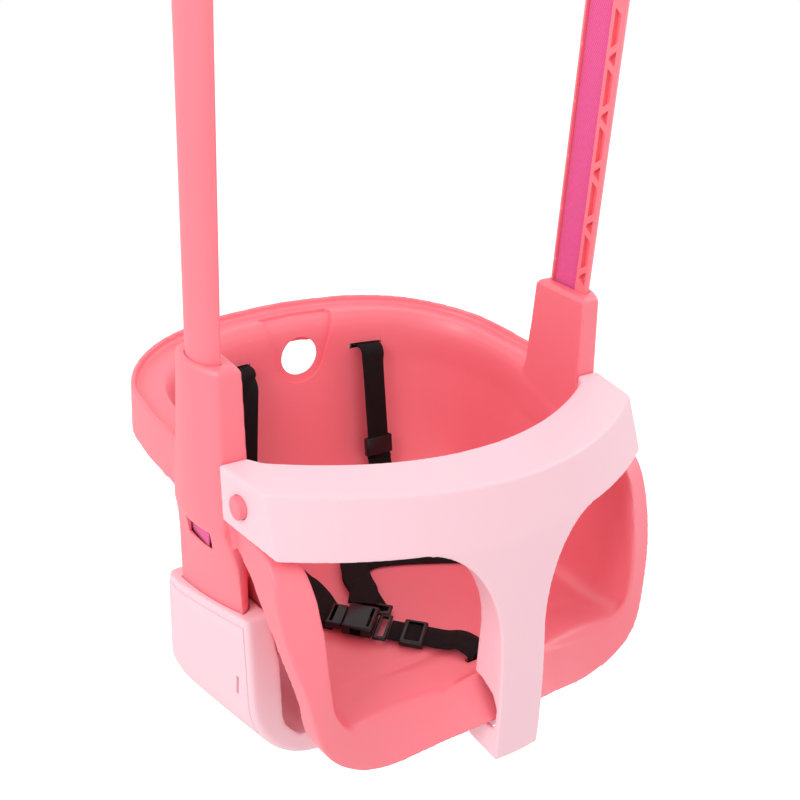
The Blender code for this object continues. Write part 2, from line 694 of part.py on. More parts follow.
CROTCH_SLOT_Y = LIP_Y + 0.022
SCREW_TIP_Z = SCREW_SEAT_Z + SCREW_LENGTH


def middle_cuts():
    hole = cylinder_mesh("back_hole", (0, BACK_Y - 0.06, HOLE_Z), (0, BACK_Y + 0.015, HOLE_Z), HOLE_DIAMETER, 40)
    crotch = box_mesh("crotch_slot", (-STRAP_SLOT_WIDTH / 2, CROTCH_SLOT_Y - STRAP_SLOT_HEIGHT / 2, FLOOR_Z - 0.02),
                      (STRAP_SLOT_WIDTH / 2, CROTCH_SLOT_Y + STRAP_SLOT_HEIGHT / 2, FLOOR_Z + 0.02))
    return {"back_hole": hole, "crotch_slot": crotch}


# Arms
def rib_cells():
    """The pockets between the slanting ribs, along the narrow channel at the arm's front."""
    low_y = ARM_CENTRE_Y - ARM_WIDTH / 2 + ARM_WALL * 0.7
    high_y = low_y + RIB_CHANNEL_WIDTH
    work = bmesh.new()
    start = 0.006
    while start + RIB_PITCH < ARM_TOP_Z - 0.01:
        middle = start + RIB_SHORT_CELL
        end = start + RIB_PITCH
        for bottom, top, tilt in ((start, middle, -1), (middle, end, 1)):
            add_cell(work, low_y, high_y, bottom, top, tilt)
        start = end
    return finish_mesh("cells", work, 0.0)


def add_cell(work, low_y, high_y, bottom, top, tilt):
    """One pocket whose lower and upper walls slant opposite ways."""
    half_rib = RIB_THICKNESS / 2
    lean = RIB_SLANT * tilt
    corners = [(low_y, bottom + half_rib + max(lean, 0)), (high_y, bottom + half_rib + max(-lean, 0)),
               (high_y, top - half_rib - max(-lean, 0)), (low_y, top - half_rib - max(lean, 0))]
    near = [work.verts.new((ARM_INNER_X - 0.001, y, z)) for y, z in corners]
    far = [work.verts.new((ARM_INNER_X + RIB_CHANNEL_DEPTH, y, z)) for y, z in corners]
    work.faces.new(near)
    work.faces.new(far[::-1])
    for index in range(4):
        following = (index + 1) % 4
        work.faces.new((near[index], far[index], far[following], near[following]))


def make_arm(label, side, material):
    """A stiff arm: a D-shaped bar with an open channel for the webbing and a ribbed channel."""
    rings = [section_ring(arm_outline(), -ARM_SOCKET_DEPTH + SLIDE_GAP), section_ring(arm_outline(), ARM_TOP_Z)]
    arm = add_object(f"{label}_arm", side_mesh(loft_mesh(f"{label}_arm", rings), side), material)
    half = WEBBING_WIDTH / 2 + GAP
    channel = box_mesh("channel", (ARM_INNER_X - 0.001, WEBBING_Y - half, -ARM_SOCKET_DEPTH - 0.001),
                       (WEBBING_X + WEBBING_THICKNESS / 2 + GAP, WEBBING_Y + half, ARM_TOP_Z + 0.001))
    boolean(arm, add_cutter(f"{label}_channel", side_mesh(channel, side)))
    boolean(arm, add_cutter(f"{label}_cells", side_mesh(rib_cells(), side)))
    return arm


def make_arm_cap(label, side, material):
    """The end cap over the arm's top, slotted for the webbing."""
    low = ARM_TOP_Z + GAP
    outline = arm_outline(CAP_OVERHANG)
    inner = arm_outline(CAP_OVERHANG * 0.3)
    rings = [section_ring(outline, low), section_ring(outline, low + CAP_HEIGHT * 0.7),
             section_ring(inner, low + CAP_HEIGHT)]
    cap = add_object(f"{label}_arm_cap", side_mesh(loft_mesh(f"{label}_arm_cap", rings), side), material)
    way = webbing_room_mesh("cap_way", low + CAP_HEIGHT + 0.001, low - 0.001, SLIDE_GAP)
    boolean(cap, add_cutter(f"{label}_cap_way", side_mesh(way, side)))
    return cap


# Load webbing, one continuous band from ring to ring under the seat
RING_TOP_Z = HANG_HEIGHT + HOOK_WIRE / 2 + GAP + RING_WIRE / 2
RING_BAR_Z = RING_TOP_Z - RING_INNER_HEIGHT - RING_WIRE


def webbing_path():
    loop = RING_WIRE / 2 + GAP + WEBBING_THICKNESS / 2
    x = WEBBING_X
    top = RING_BAR_Z
    run = [(x, WEBBING_Y, top), (x, WEBBING_Y, WEBBING_FLOOR_Z), (-x, WEBBING_Y, WEBBING_FLOOR_Z),
           (-x, WEBBING_Y, top)]
    path = rounded_path(run, WEBBING_BEND)
    centre = Vector((x + loop, WEBBING_Y, top))
    over = []
    for step in range(1, 9):
        angle = math.pi - math.pi * step / 8
        over.append(centre + Vector((loop * math.cos(angle), 0, loop * math.sin(angle))))
    tail = [over[-1] + Vector((0, 0, -0.018))]
    right = (over + tail)[::-1]
    left = mirrored_x(over + tail)
    return right + path + left


def make_load_webbing(material):
    mesh = ribbon_mesh("load_webbing", webbing_path(), (0, 1, 0), WEBBING_WIDTH, WEBBING_THICKNESS)
    return add_object("load_webbing", mesh, material)


# Rings and hooks at the top
def ring_points():
    """A ring with a straight bottom bar and an arched top, in a plane across the hang axis."""
    half = RING_INNER_WIDTH / 2 + RING_WIRE / 2
    bottom = RING_BAR_Z
    arch = half
    centre_z = bottom + RING_INNER_HEIGHT + RING_WIRE - arch
    x = RING_X
    corner = RING_WIRE
    points = []
    for step in range(13):
        angle = math.pi * step / 12
        points.append((x, WEBBING_Y + half * math.cos(angle), centre_z + arch * math.sin(angle)))
    for turn, sign in ((0, -1), (1, 1)):
        for step in range(5):
            angle = math.pi * (1 + 0.5 * turn) + math.pi / 2 * step / 4
            points.append((x, WEBBING_Y + sign * (half - corner) + corner * math.cos(angle),
                           bottom + corner + corner * math.sin(angle)))
    return points


RING_X = WEBBING_X + RING_WIRE / 2 + GAP + WEBBING_THICKNESS / 2
HOOK_BAR_Z = HANG_HEIGHT


def hook_points():
    """The hook's open loop, a long ring in a plane along the hang axis, without its gate side."""
    half = HOOK_INNER_WIDTH / 2 + HOOK_WIRE / 2
    low = HOOK_BAR_Z + half
    high = HOOK_BAR_Z + HOOK_INNER_HEIGHT + HOOK_WIRE - half
    points = []
    for step in range(10):
        angle = math.radians(-10) - math.radians(170) * step / 9
        points.append((RING_X + half * math.cos(angle), WEBBING_Y, low + half * math.sin(angle)))
    for step in range(10):
        angle = math.pi - math.radians(170) * step / 9
        points.append((RING_X + half * math.cos(angle), WEBBING_Y, high + half * math.sin(angle)))
    return points


def make_ring(label, side, material):
    mesh = side_mesh(wire_mesh(f"{label}_ring", ring_points(), RING_WIRE), side)
    return add_object(f"{label}_ring", mesh, material)


GATE_X = RING_X + HOOK_INNER_WIDTH / 2 + HOOK_WIRE / 2
GATE_LOW_Z = HOOK_BAR_Z + HOOK_INNER_WIDTH / 2 + HOOK_WIRE


def make_hook(label, side, material):
    """A steel snap hook: a bent bar with a forked end for the gate's pin."""
    hook = add_object(f"{label}_hook", side_mesh(wire_mesh(f"{label}_hook", hook_points(), HOOK_WIRE,
                                                           closed=False), side), material)
    low_end = HOOK_BAR_Z + HOOK_INNER_WIDTH / 2 + HOOK_WIRE / 2
    fork = box_mesh("fork", (GATE_X - HOOK_WIRE / 2, WEBBING_Y - HOOK_WIRE / 2, low_end - 0.004),
                    (GATE_X + HOOK_WIRE / 2, WEBBING_Y + HOOK_WIRE / 2, GATE_LOW_Z + 0.004))
    boolean(hook, add_cutter(f"{label}_fork", side_mesh(fork, side)), "UNION")
    half = GATE_WIRE / 2 + GAP
    notch = box_mesh("notch", (GATE_X - HOOK_WIRE, WEBBING_Y - half, low_end + 0.0015),
                     (GATE_X + HOOK_WIRE, WEBBING_Y + half, GATE_LOW_Z + 0.01))
    boolean(hook, add_cutter(f"{label}_notch", side_mesh(notch, side)))
    bore = cylinder_mesh("bore", (GATE_X, WEBBING_Y - HOOK_WIRE, GATE_LOW_Z),
                         (GATE_X, WEBBING_Y + HOOK_WIRE, GATE_LOW_Z), GATE_PIN_DIAMETER + 2 * GAP, 16)
    boolean(hook, add_cutter(f"{label}_pin_bore", side_mesh(bore, side)))
    return hook


def make_gate(label, side, material):
    """The gate: a flat bar on its pin that closes the hook's open side."""
    half = GATE_WIRE / 2
    top = HOOK_BAR_Z + HOOK_INNER_HEIGHT - HOOK_INNER_WIDTH / 2 + HOOK_WIRE * 0.2
    outline = [(GATE_X - half, GATE_LOW_Z - half * 0.6), (GATE_X + half, GATE_LOW_Z - half * 0.6),
               (GATE_X + half, top - half), (GATE_X, top), (GATE_X - half, top - half)]
    mesh = outline_mesh(f"{label}_hook_gate", [(x, -z) for x, z in outline], -half, half, "Y")
    for vert in mesh.vertices:
        vert.co = (vert.co.x, vert.co.y + WEBBING_Y, -vert.co.z)
    mesh.flip_normals()
    gate = add_object(f"{label}_hook_gate", side_mesh(mesh, side), material)
    bore = cylinder_mesh("gate_bore", (GATE_X, WEBBING_Y - HOOK_WIRE, GATE_LOW_Z),
                         (GATE_X, WEBBING_Y + HOOK_WIRE, GATE_LOW_Z), GATE_PIN_DIAMETER + 2 * GAP, 16)
    boolean(gate, add_cutter(f"{label}_gate_bore", side_mesh(bore, side)))
    return gate


def make_gate_pin(label, side, material):
    reach = HOOK_WIRE / 2
    mesh = cylinder_mesh(f"{label}_gate_pin", (GATE_X, WEBBING_Y - reach, GATE_LOW_Z),
                         (GATE_X, WEBBING_Y + reach, GATE_LOW_Z), GATE_PIN_DIAMETER, 16)
    return add_object(f"{label}_gate_pin", side_mesh(mesh, side), material)


# Base
def base_outer_x(y):
    """How far out the base's side stands at a depth, wider to the rear and slightly crowned."""
    t = (y - BASE_FRONT_Y) / (BASE_REAR_Y - BASE_FRONT_Y)
    return BASE_FRONT_X + (BASE_REAR_X - BASE_FRONT_X) * min(t / 0.75, 1.0) + 0.002 * math.sin(math.pi * t)


def arc_points(centre_x, centre_z, radius_x, radius_z, start, end, steps):
    points = []
    for step in range(steps + 1):
        angle = math.radians(start + (end - start) * step / steps)
        points.append((centre_x + radius_x * math.cos(angle), centre_z + radius_z * math.sin(angle)))
    return points


def base_ring(y, outer_x, top_z, bottom_z, lean):
    """One U-shaped section of the base in a plane across the seat, leaning forward going down."""
    corner = BASE_CORNER
    inner = BASE_INNER_CORNER
    floor_z = bottom_z + BASE_FLOOR_THICKNESS
    half = [(BASE_INNER_TOP_X, top_z), (outer_x, top_z)]
    half += arc_points(outer_x - corner, bottom_z + corner, corner, corner, 0, -90, 6)
    inside = arc_points(BASE_INNER_X - inner, floor_z + inner, inner, inner, 0, -90, 4)
    right = inside[::-1] + [(BASE_INNER_X, top_z - BASE_INNER_SLOPE)] + half
    ring = right + [(-x, z) for x, z in reversed(right)]
    return [Vector((x, y - lean * (BASE_TOP_Z - z) / (BASE_TOP_Z - BASE_BOTTOM_Z), z)) for x, z in ring]


def base_mesh(name):
    edge = 0.003
    stations = [
        (BASE_FRONT_Y, -edge, edge), (BASE_FRONT_Y + edge, 0.0, 0.0), (-0.010, 0.0, 0.0),
        (0.020, 0.0, 0.0), (0.045, 0.0, 0.0), (BASE_REAR_Y - 0.010, 0.0, 0.0), (BASE_REAR_Y, -0.008, 0.003),
    ]
    rings = []
    for y, outward, inset in stations:
        t = (y - BASE_FRONT_Y) / (BASE_REAR_Y - BASE_FRONT_Y)
        rings.append(base_ring(y, base_outer_x(y) + outward, BASE_TOP_Z - inset,
                               BASE_BOTTOM_Z + inset, BASE_LEAN * max(0.0, 1 - t * 1.6)))
    return loft_mesh(name, rings)


def cover_mesh(grow_out, grow_in, grow_edge):
    """A crowned plate over the outer side of a pod, its front edge leaning with the base."""
    top = BASE_TOP_Z - COVER_MARGIN + grow_edge
    bottom = BASE_TOP_Z - COVER_MARGIN - COVER_HEIGHT - grow_edge
    stations = 7
    rings = []
    for step in range(stations):
        t = step / (stations - 1)
        y = BASE_FRONT_Y + COVER_MARGIN - grow_edge + (COVER_REACH + 2 * grow_edge) * t
        drop = BASE_LEAN * 0.6 * (1 - t)
        x = base_outer_x(y)
        rings.append([Vector((x - COVER_THICKNESS - grow_in, y, top)), Vector((x + grow_out, y, top)),
                      Vector((x + grow_out, y - drop, bottom)), Vector((x - COVER_THICKNESS - grow_in, y - drop, bottom))])
    return loft_mesh("cover", rings)


def make_base(material):
    """The U-shaped cradle under the seat: the legs stand in its sides and the webbing runs through it."""
    base = add_object("base_cradle", base_mesh("base_cradle"), material)
    for label, side in SIDES.items():
        pocket = loft_mesh("pocket", [section_ring(column_section(LEG_END_Z, SLIDE_GAP), LEG_END_Z - SLIDE_GAP),
                                      section_ring(column_section(BASE_TOP_Z, SLIDE_GAP), BASE_TOP_Z),
                                      section_ring(column_section(BASE_TOP_Z, SLIDE_GAP), BASE_TOP_Z + 0.01)])
        boolean(base, add_cutter(f"{label}_pocket", side_mesh(pocket, side)))
        room = cover_mesh(0.01, GAP, GAP)
        boolean(base, add_cutter(f"{label}_cover_room", side_mesh(room, side)))
        bore = cylinder_mesh("screw_bore", (SCREW_X, SCREW_Y, SCREW_SEAT_Z - 0.001),
                             (SCREW_X, SCREW_Y, LEG_END_Z + 0.001), SCREW_DIAMETER + 2 * GAP)
        boolean(base, add_cutter(f"{label}_screw_bore", side_mesh(bore, side)))
        seat = cylinder_mesh("head_room", (SCREW_X, SCREW_Y, BASE_BOTTOM_Z - 0.01), (SCREW_X, SCREW_Y, SCREW_SEAT_Z),
                             SCREW_HEAD_DIAMETER + 4 * GAP)
        boolean(base, add_cutter(f"{label}_head_room", side_mesh(seat, side)))
    way = ribbon_mesh("base_way", rounded_path([(WEBBING_X, WEBBING_Y, LEG_END_Z + 0.01),
                                                (WEBBING_X, WEBBING_Y, WEBBING_FLOOR_Z),
                                                (-WEBBING_X, WEBBING_Y, WEBBING_FLOOR_Z),
                                                (-WEBBING_X, WEBBING_Y, LEG_END_Z + 0.01)], WEBBING_BEND),
                      (0, 1, 0), WEBBING_WIDTH + 2 * WEBBING_ROOM, WEBBING_THICKNESS + 2 * WEBBING_ROOM)
    boolean(base, add_cutter("base_way", way))
    return base


def make_cover(label, side, material):
    """The pale cover let into the outer face of a pod, with its small tool slot."""
    cover = add_object(f"{label}_base_cover", side_mesh(cover_mesh(0.0002, 0.0, 0.0), side), material)
    slot = box_mesh("tool_slot", (COLUMN_INNER_X, TOOL_SLOT_Y - TOOL_SLOT_WIDTH / 2, TOOL_SLOT_Z - TOOL_SLOT_HEIGHT / 2),
                    (BASE_REAR_X + 0.01, TOOL_SLOT_Y + TOOL_SLOT_WIDTH / 2, TOOL_SLOT_Z + TOOL_SLOT_HEIGHT / 2))
    boolean(cover, add_cutter(f"{label}_tool_slot", side_mesh(slot, side)))
    return cover


def make_screw(label, side, material):
    """A pan-head screw from below, through the base into the leg's end."""
    seat = SCREW_SEAT_Z - GAP
    head = cylinder_mesh(f"{label}_base_screw", (SCREW_X, SCREW_Y, seat - SCREW_HEAD_HEIGHT),
                         (SCREW_X, SCREW_Y, seat), SCREW_HEAD_DIAMETER)
    screw = add_object(f"{label}_base_screw", side_mesh(head, side), material)
    shank = cylinder_mesh("shank", (SCREW_X, SCREW_Y, seat - 0.001), (SCREW_X, SCREW_Y, SCREW_TIP_Z), SCREW_DIAMETER)
    boolean(screw, add_cutter(f"{label}_shank", side_mesh(shank, side)), "UNION")
    return screw


# Guard
GUARD_END_X = COLUMN_FRONT_X + 0.0045
GUARD_INNER_END_X = COLUMN_INNER_X - 0.001
GUARD_BOTTOM_Z = GUARD_TOP_Z - GUARD_HEIGHT


def extended(start, end, reach):
    return tuple(b + (b - a) * reach for a, b in zip(start, end))


def guard_stations(beyond, steps=9):
    """Plan points of the right half: the top's inner edge, its crease and the front's forward slope."""
    inner_w = COLUMN_INNER_X - 0.008
    outer_w = GUARD_END_X - GUARD_CORNER_INSET
    stations = []
    for step in range(steps + 1):
        t = step / steps
        inner = (inner_w * t, -GUARD_INNER_REACH + (GUARD_INNER_REACH - 0.018) * t ** 2)
        crease = (outer_w * t, -GUARD_OUTER_REACH + (GUARD_OUTER_REACH + GUARD_CORNER_Y) * t ** 2)
        slope = GUARD_SLOPE + (GUARD_CORNER_SLOPE - GUARD_SLOPE) * t ** 2
        stations.append((inner, crease, slope))
    inner = extended(stations[-1][0], (GUARD_INNER_END_X, GUARD_REAR_Y - 0.003), beyond)
    crease = extended(stations[-1][1], (GUARD_END_X, GUARD_REAR_Y), beyond / 4)
    stations.append((inner, crease, 0.0))
    return stations


def guard_ring(inner, crease, slope, inset):
    """One closed section of the guard: the bar above and the slab that the post is cut from below."""
    inner = Vector((*inner, 0.0))
    crease = Vector((*crease, 0.0))
    out = (crease - inner).normalized()
    forward = Vector((0, -1, 0)) if slope else out

    def at(place, z):
        return Vector((place.x, place.y, z))

    ring = [at(inner + out * inset, GUARD_TOP_Z - inset), at(crease - out * inset, GUARD_TOP_Z - inset),
            at(crease + forward * slope - out * inset, GUARD_BOTTOM_Z)]
    low = POST_BOTTOM_Z - (0.001 if inset else 0.0)
    for share in (0.22, 0.45, 0.72, 1.0):
        z = GUARD_BOTTOM_Z + (low - GUARD_BOTTOM_Z) * share
        more = (POST_SLOPE - GUARD_SLOPE) * math.sin(share * math.pi / 2)
        ring.append(at(crease + forward * (slope + more) - out * inset, z))
    rear = crease - out * (POST_BACK - inset if crease.x < POST_HALF_WIDTH + OPENING_CORNER_WIDTH else POST_BACK + inset)
    ring += [at(rear, low), at(rear, GUARD_BOTTOM_Z + inset), at(inner + out * inset, GUARD_BOTTOM_Z + inset)]
    return ring


POST_BACK = 0.002
OPENING_BITE = 0.0004


def guard_body_mesh(name, inset):
    """The guard's outer body, or with an inset the longer space inside its walls."""
    half = [guard_ring(*station, inset) for station in guard_stations(0.8 if inset else 0.4)]
    left = [mirrored_x(ring) for ring in reversed(half[1:])]
    return loft_mesh(name, left + half)


def leg_opening_mesh(wall, steps=8):
    """The space for one leg under the guard, with a large rounded corner beside the post."""
    left = POST_HALF_WIDTH - wall
    top = GUARD_BOTTOM_Z + wall * 1.2 + OPENING_BITE
    right = GUARD_END_X + 0.05
    bottom = POST_BOTTOM_Z - 0.05
    points = [(left, -bottom)]
    for step in range(steps + 1):
        angle = math.pi / 2 * step / steps
        points.append((left + OPENING_CORNER_WIDTH * (1 - math.cos(angle)),
                       -top + OPENING_CORNER_HEIGHT * (1 - math.sin(angle))))
    points += [(right, -top), (right, -bottom)]
    opening = outline_mesh("leg_opening", points, -0.3, 0.1, "Y")
    opening.transform(Matrix.Scale(-1, 4, (0, 0, 1)))
    opening.flip_normals()
    return opening


def make_guard(material):
    """The T-shaped guard: a hollow bar round the front and a hollow post over the seat's lip."""
    guard = add_object("guard", guard_body_mesh("guard", 0.0), material)
    inside = add_cutter("guard_inside", guard_body_mesh("guard_inside", GUARD_WALL))
    for label, side in SIDES.items():
        boolean(guard, add_cutter(f"{label}_leg_opening", side_mesh(leg_opening_mesh(0.0), side)))
        boolean(inside, add_cutter(f"{label}_inner_opening", side_mesh(leg_opening_mesh(GUARD_WALL), side)))
    boolean(guard, inside)
    lip_room = outline_mesh("lip_room", lip_room_outline(), -POST_HALF_WIDTH - 0.002, POST_HALF_WIDTH + 0.002, "X")
    boolean(guard, add_cutter("lip_room", lip_room))
    for label, side in SIDES.items():
        boolean(guard, add_cutter(f"{label}_end_room", side_mesh(end_room_mesh(), side)))
        boolean(guard, add_cutter(f"{label}_guide_rib", side_mesh(guide_rib_mesh(), side)), "UNION")
        bore = cylinder_mesh("button_bore", (COLUMN_FRONT_X - 0.010, BUTTON_Y, BUTTON_Z),
                             (GUARD_END_X + 0.02, BUTTON_Y, BUTTON_Z), BUTTON_DIAMETER + 2 * SLIDE_GAP, 32)
        boolean(guard, add_cutter(f"{label}_button_bore", side_mesh(bore, side)))
        guide = cylinder_mesh("pin_guide", (COLUMN_INNER_X - 0.01, BUTTON_Y, BUTTON_Z),
                              (COLUMN_INNER_X + 0.006, BUTTON_Y, BUTTON_Z), BUTTON_PIN_DIAMETER + 2 * SLIDE_GAP, 20)
        boolean(guard, add_cutter(f"{label}_pin_guide", side_mesh(guide, side)))
    return guard


def end_room_mesh():
    """What keeps the guard's end clear of the column's leaning front."""
    levels = (GUARD_TOP_Z + 0.002, -0.110, GUARD_BOTTOM_Z - 0.002)
    outline = [(column_section(z)[0][1] - SLIDE_GAP, z) for z in levels]
    return outline_mesh("end_room", outline + [(0.030, levels[-1]), (0.030, levels[0])], GUARD_INNER_END_X - 0.02,
                        GUARD_END_X + 0.02, "X")


def guide_rib_mesh():
    """A rib inside the guard's end that guides the button's pin and backs its spring."""
    return box_mesh("guide_rib", (GUARD_INNER_END_X, BUTTON_Y - 0.018, GUARD_BOTTOM_Z + GUARD_WALL * 0.6),
                    (GUARD_INNER_END_X + GUARD_WALL - 0.0002, -0.0110, GUARD_TOP_Z - GUARD_WALL * 0.5))


def lip_room_outline():
    """The notch for the seat's lip, open to the rear so that the guard slides off forwards."""
    top = FLOOR_Z + LIP_RISE + 0.0015
    bottom = FLOOR_Z + LIP_RISE - NOSE_DROP - WALL - 0.006
    front = NOSE_Y - 0.0022
    return [(0.0, bottom), (front + 0.004, bottom), (front, bottom + 0.006), (front, top - 0.016),
            (front + 0.006, top - 0.006), (front + 0.020, top), (0.0, top)]


# Buttons
BUTTON_FACE_X = GUARD_END_X - GUARD_CORNER_INSET * (BUTTON_Y - GUARD_REAR_Y) / (GUARD_CORNER_Y - GUARD_REAR_Y)
BUTTON_SHOULDER_X = BUTTON_FACE_X - GUARD_WALL - 0.0024 - BUTTON_COLLAR_THICKNESS
BUTTON_PIN_TIP_X = COLUMN_INNER_X - 0.001 + GUARD_WALL * 0.7


def make_button(label, side, material):
    """A push button with a collar behind the guard's wall and a pin guided in the guard's inner wall."""
    head = BUTTON_DIAMETER / 2
    pin = BUTTON_PIN_DIAMETER / 2
    collar = BUTTON_COLLAR_DIAMETER / 2
    shoulder = BUTTON_SHOULDER_X - BUTTON_FACE_X
    back = shoulder + BUTTON_COLLAR_THICKNESS
    tip = BUTTON_PIN_TIP_X - BUTTON_FACE_X
    outline = [(0.0, BUTTON_STAND), (head - 0.0015, BUTTON_STAND), (head - 0.0004, BUTTON_STAND - 0.0006),
               (head, BUTTON_STAND - 0.0018), (head, back), (collar, back), (collar, shoulder),
               (pin, shoulder), (pin, tip), (0.0, tip)]
    work = bmesh.new()
    verts = [work.verts.new((radius, 0.0, height)) for radius, height in outline]
    edges = [work.edges.new(pair) for pair in zip(verts[:-1], verts[1:])]
    bmesh.ops.spin(work, geom=verts + edges, angle=math.tau, steps=28, axis=(0, 0, 1), cent=(0, 0, 0),
                   use_merge=True)
    mesh = finish_mesh(f"{label}_button", work)
    mesh.transform(Matrix.Rotation(math.radians(90), 4, "Y"))
    pivot = bpy.data.objects.new(f"{label}_button_axis", None)
    pivot.location = (side * BUTTON_FACE_X, BUTTON_Y, BUTTON_Z)
    pivot.parent = DATUM
    PARTS.objects.link(pivot)
    return add_object(f"{label}_button", side_mesh(mesh, side), material, pivot)


# Springs of the buttons
def make_button_spring(label, side, material):
    """A short coil round the button's pin, drawn at its pressed length against the guard's inner wall."""
    radius = (SPRING_DIAMETER - SPRING_WIRE) / 2
    start = COLUMN_INNER_X - 0.001 + GUARD_WALL + GAP + SPRING_WIRE / 2
    room = BUTTON_SHOULDER_X - BUTTON_TRAVEL - GAP - SPRING_WIRE / 2 - start
    points = []
    count = SPRING_TURNS * 12
    for step in range(count + 1):
        angle = math.tau * step / 12
        points.append((start + room * step / count, BUTTON_Y + radius * math.cos(angle),
                       BUTTON_Z + radius * math.sin(angle)))
    mesh = wire_mesh(f"{label}_button_spring", points, SPRING_WIRE, closed=False)
    return add_object(f"{label}_button_spring", side_mesh(mesh, side), material)


# Harness
def chain_point(distance, offset, height):
    """A place on the line of buckles, measured along it, across it and above the seat's floor."""
    x = CHAIN_START[0] + math.cos(CHAIN_TURN) * distance - math.sin(CHAIN_TURN) * offset
    y = CHAIN_START[1] + math.sin(CHAIN_TURN) * distance + math.cos(CHAIN_TURN) * offset
    return Vector((x, y, FLOOR_Z + height))


def chain_box(name, start, end, half_width, low, high, offset=0.0):
    """A box along the line of buckles."""
    mesh = box_mesh(name, (start, offset - half_width, low), (end, offset + half_width, high))
    origin = chain_point(0.0, 0.0, 0.0)
    mesh.transform(Matrix.Translation(origin) @ Matrix.Rotation(CHAIN_TURN, 4, "Z"))
    return mesh


def strap_mesh(name, points, first_across, steps=3):
    """A flat strap on a smooth route, level across the way it runs."""
    line = smooth_points(points, steps)
    across = []
    last = Vector(first_across)
    for index in range(len(line)):
        ahead = line[min(index + 1, len(line) - 1)] - line[max(index - 1, 0)]
        flat = Vector((-ahead.y, ahead.x, 0.0))
        if flat.length > ahead.length * 0.05:
            last = flat.normalized() * (1 if flat.dot(last) > 0 else -1)
        across.append(last)
    return ribbon_mesh(name, line, across, STRAP_WIDTH, STRAP_THICKNESS)


STRAP_REST = FLOOR_Z + STRAP_LAY + STRAP_THICKNESS / 2
STRAP_OVER = STRAP_REST + STRAP_THICKNESS + GAP
LINK_OFFSET = SOCKET_WIDTH / 2 + GAP
LINK_LOW = STRAP_LAY + STRAP_THICKNESS + GAP


def route(places):
    """Points of a strap's route: x and y in the route's unit, and z as a length."""
    return [Vector((x * ROUTE_UNIT, y * ROUTE_UNIT, z)) for x, y, z in places]


def run_place(share):
    """A point of the shoulder straps' straight run down the back wall."""
    y = RUN_TOP[0] + (RUN_BOTTOM[0] - RUN_TOP[0]) * share
    return Vector((STRAP_X, y, RUN_TOP[1] + (RUN_BOTTOM[1] - RUN_TOP[1]) * share))


def shoulder_route(side):
    """Through the back wall's slot, down the straight run and over the floor to the buckles."""
    lay = STRAP_REST
    over = STRAP_OVER
    knee_z = FLOOR_Z + 16.5 * ROUTE_UNIT
    landing_z = FLOOR_Z + 6.8 * ROUTE_UNIT
    slot_x = STRAP_X / ROUTE_UNIT
    fall = route([(slot_x, 216.0, STRAP_SLOT_Z), (slot_x, 206.0, STRAP_SLOT_Z),
                  (slot_x, 197.5, STRAP_SLOT_Z - 0.4 * ROUTE_UNIT), (slot_x, 193.2, STRAP_SLOT_Z - 6.0 * ROUTE_UNIT)])
    fall += [run_place(share) for share in (0.0, 0.5, 0.95, 1.0)]
    if side < 0:
        return mirrored_x(fall) + route([
            (-75.5, 164.0, knee_z), (-76.5, 151.0, landing_z), (-78.0, 132.0, lay), (-80.0, 100.0, lay),
            (-80.0, 65.0, lay + 0.4 * ROUTE_UNIT), (-78.5, 48.0, over), (-78.5, 30.0, over), (-80.5, 14.0, over),
            (-79.3, -2.6, over)])
    link = FLOOR_Z + LINK_LOW + LINK_THICKNESS + GAP + STRAP_THICKNESS / 2
    return fall + route([
        (74.0, 165.0, knee_z), (69.5, 152.0, landing_z), (58.0, 134.0, lay), (34.0, 109.0, lay),
        (5.0, 85.0, lay + 1.2 * ROUTE_UNIT), (-18.0, 68.0, link), (-30.0, 48.0, link), (-36.5, 30.0, link),
        (-40.5, 15.0, link), (-51.7, -0.8, link)])


def lap_route(side):
    """Up through the floor's slot and over the floor to the buckles."""
    frame = lap_frame(side)
    rest = (STRAP_REST - FLOOR_Z) / ROUTE_UNIT
    rise = [frame @ (Vector((0.0, -ahead, height)) * ROUTE_UNIT) for ahead, height in
            ((0.0, -12.0), (0.0, -6.0), (0.0, -1.0), (2.2, rest - 0.4), (8.0, rest), (16.0, rest))]
    lay = STRAP_REST
    if side < 0:
        return rise + route([(-86.0, 4.0, lay), (-79.0, -6.0, lay)])
    return rise + route([
        (75.0, 23.0, lay), (45.0, 38.0, lay), (18.0, 50.0, lay), (-5.0, 57.0, lay), (-22.0, 54.0, lay),
        (-33.0, 40.0, lay), (-36.5, 25.0, lay), (-40.0, 10.0, lay), (-44.0, -11.0, lay)])


def make_shoulder_strap(label, side, material):
    name = f"{label}_shoulder_strap"
    return add_object(name, strap_mesh(name, shoulder_route(side), (1, 0, 0)), material)


def make_lap_strap(label, side, material):
    name = f"{label}_lap_strap"
    across = lap_frame(side).to_3x3() @ Vector((1, 0, 0))
    return add_object(name, strap_mesh(name, lap_route(side), across), material)


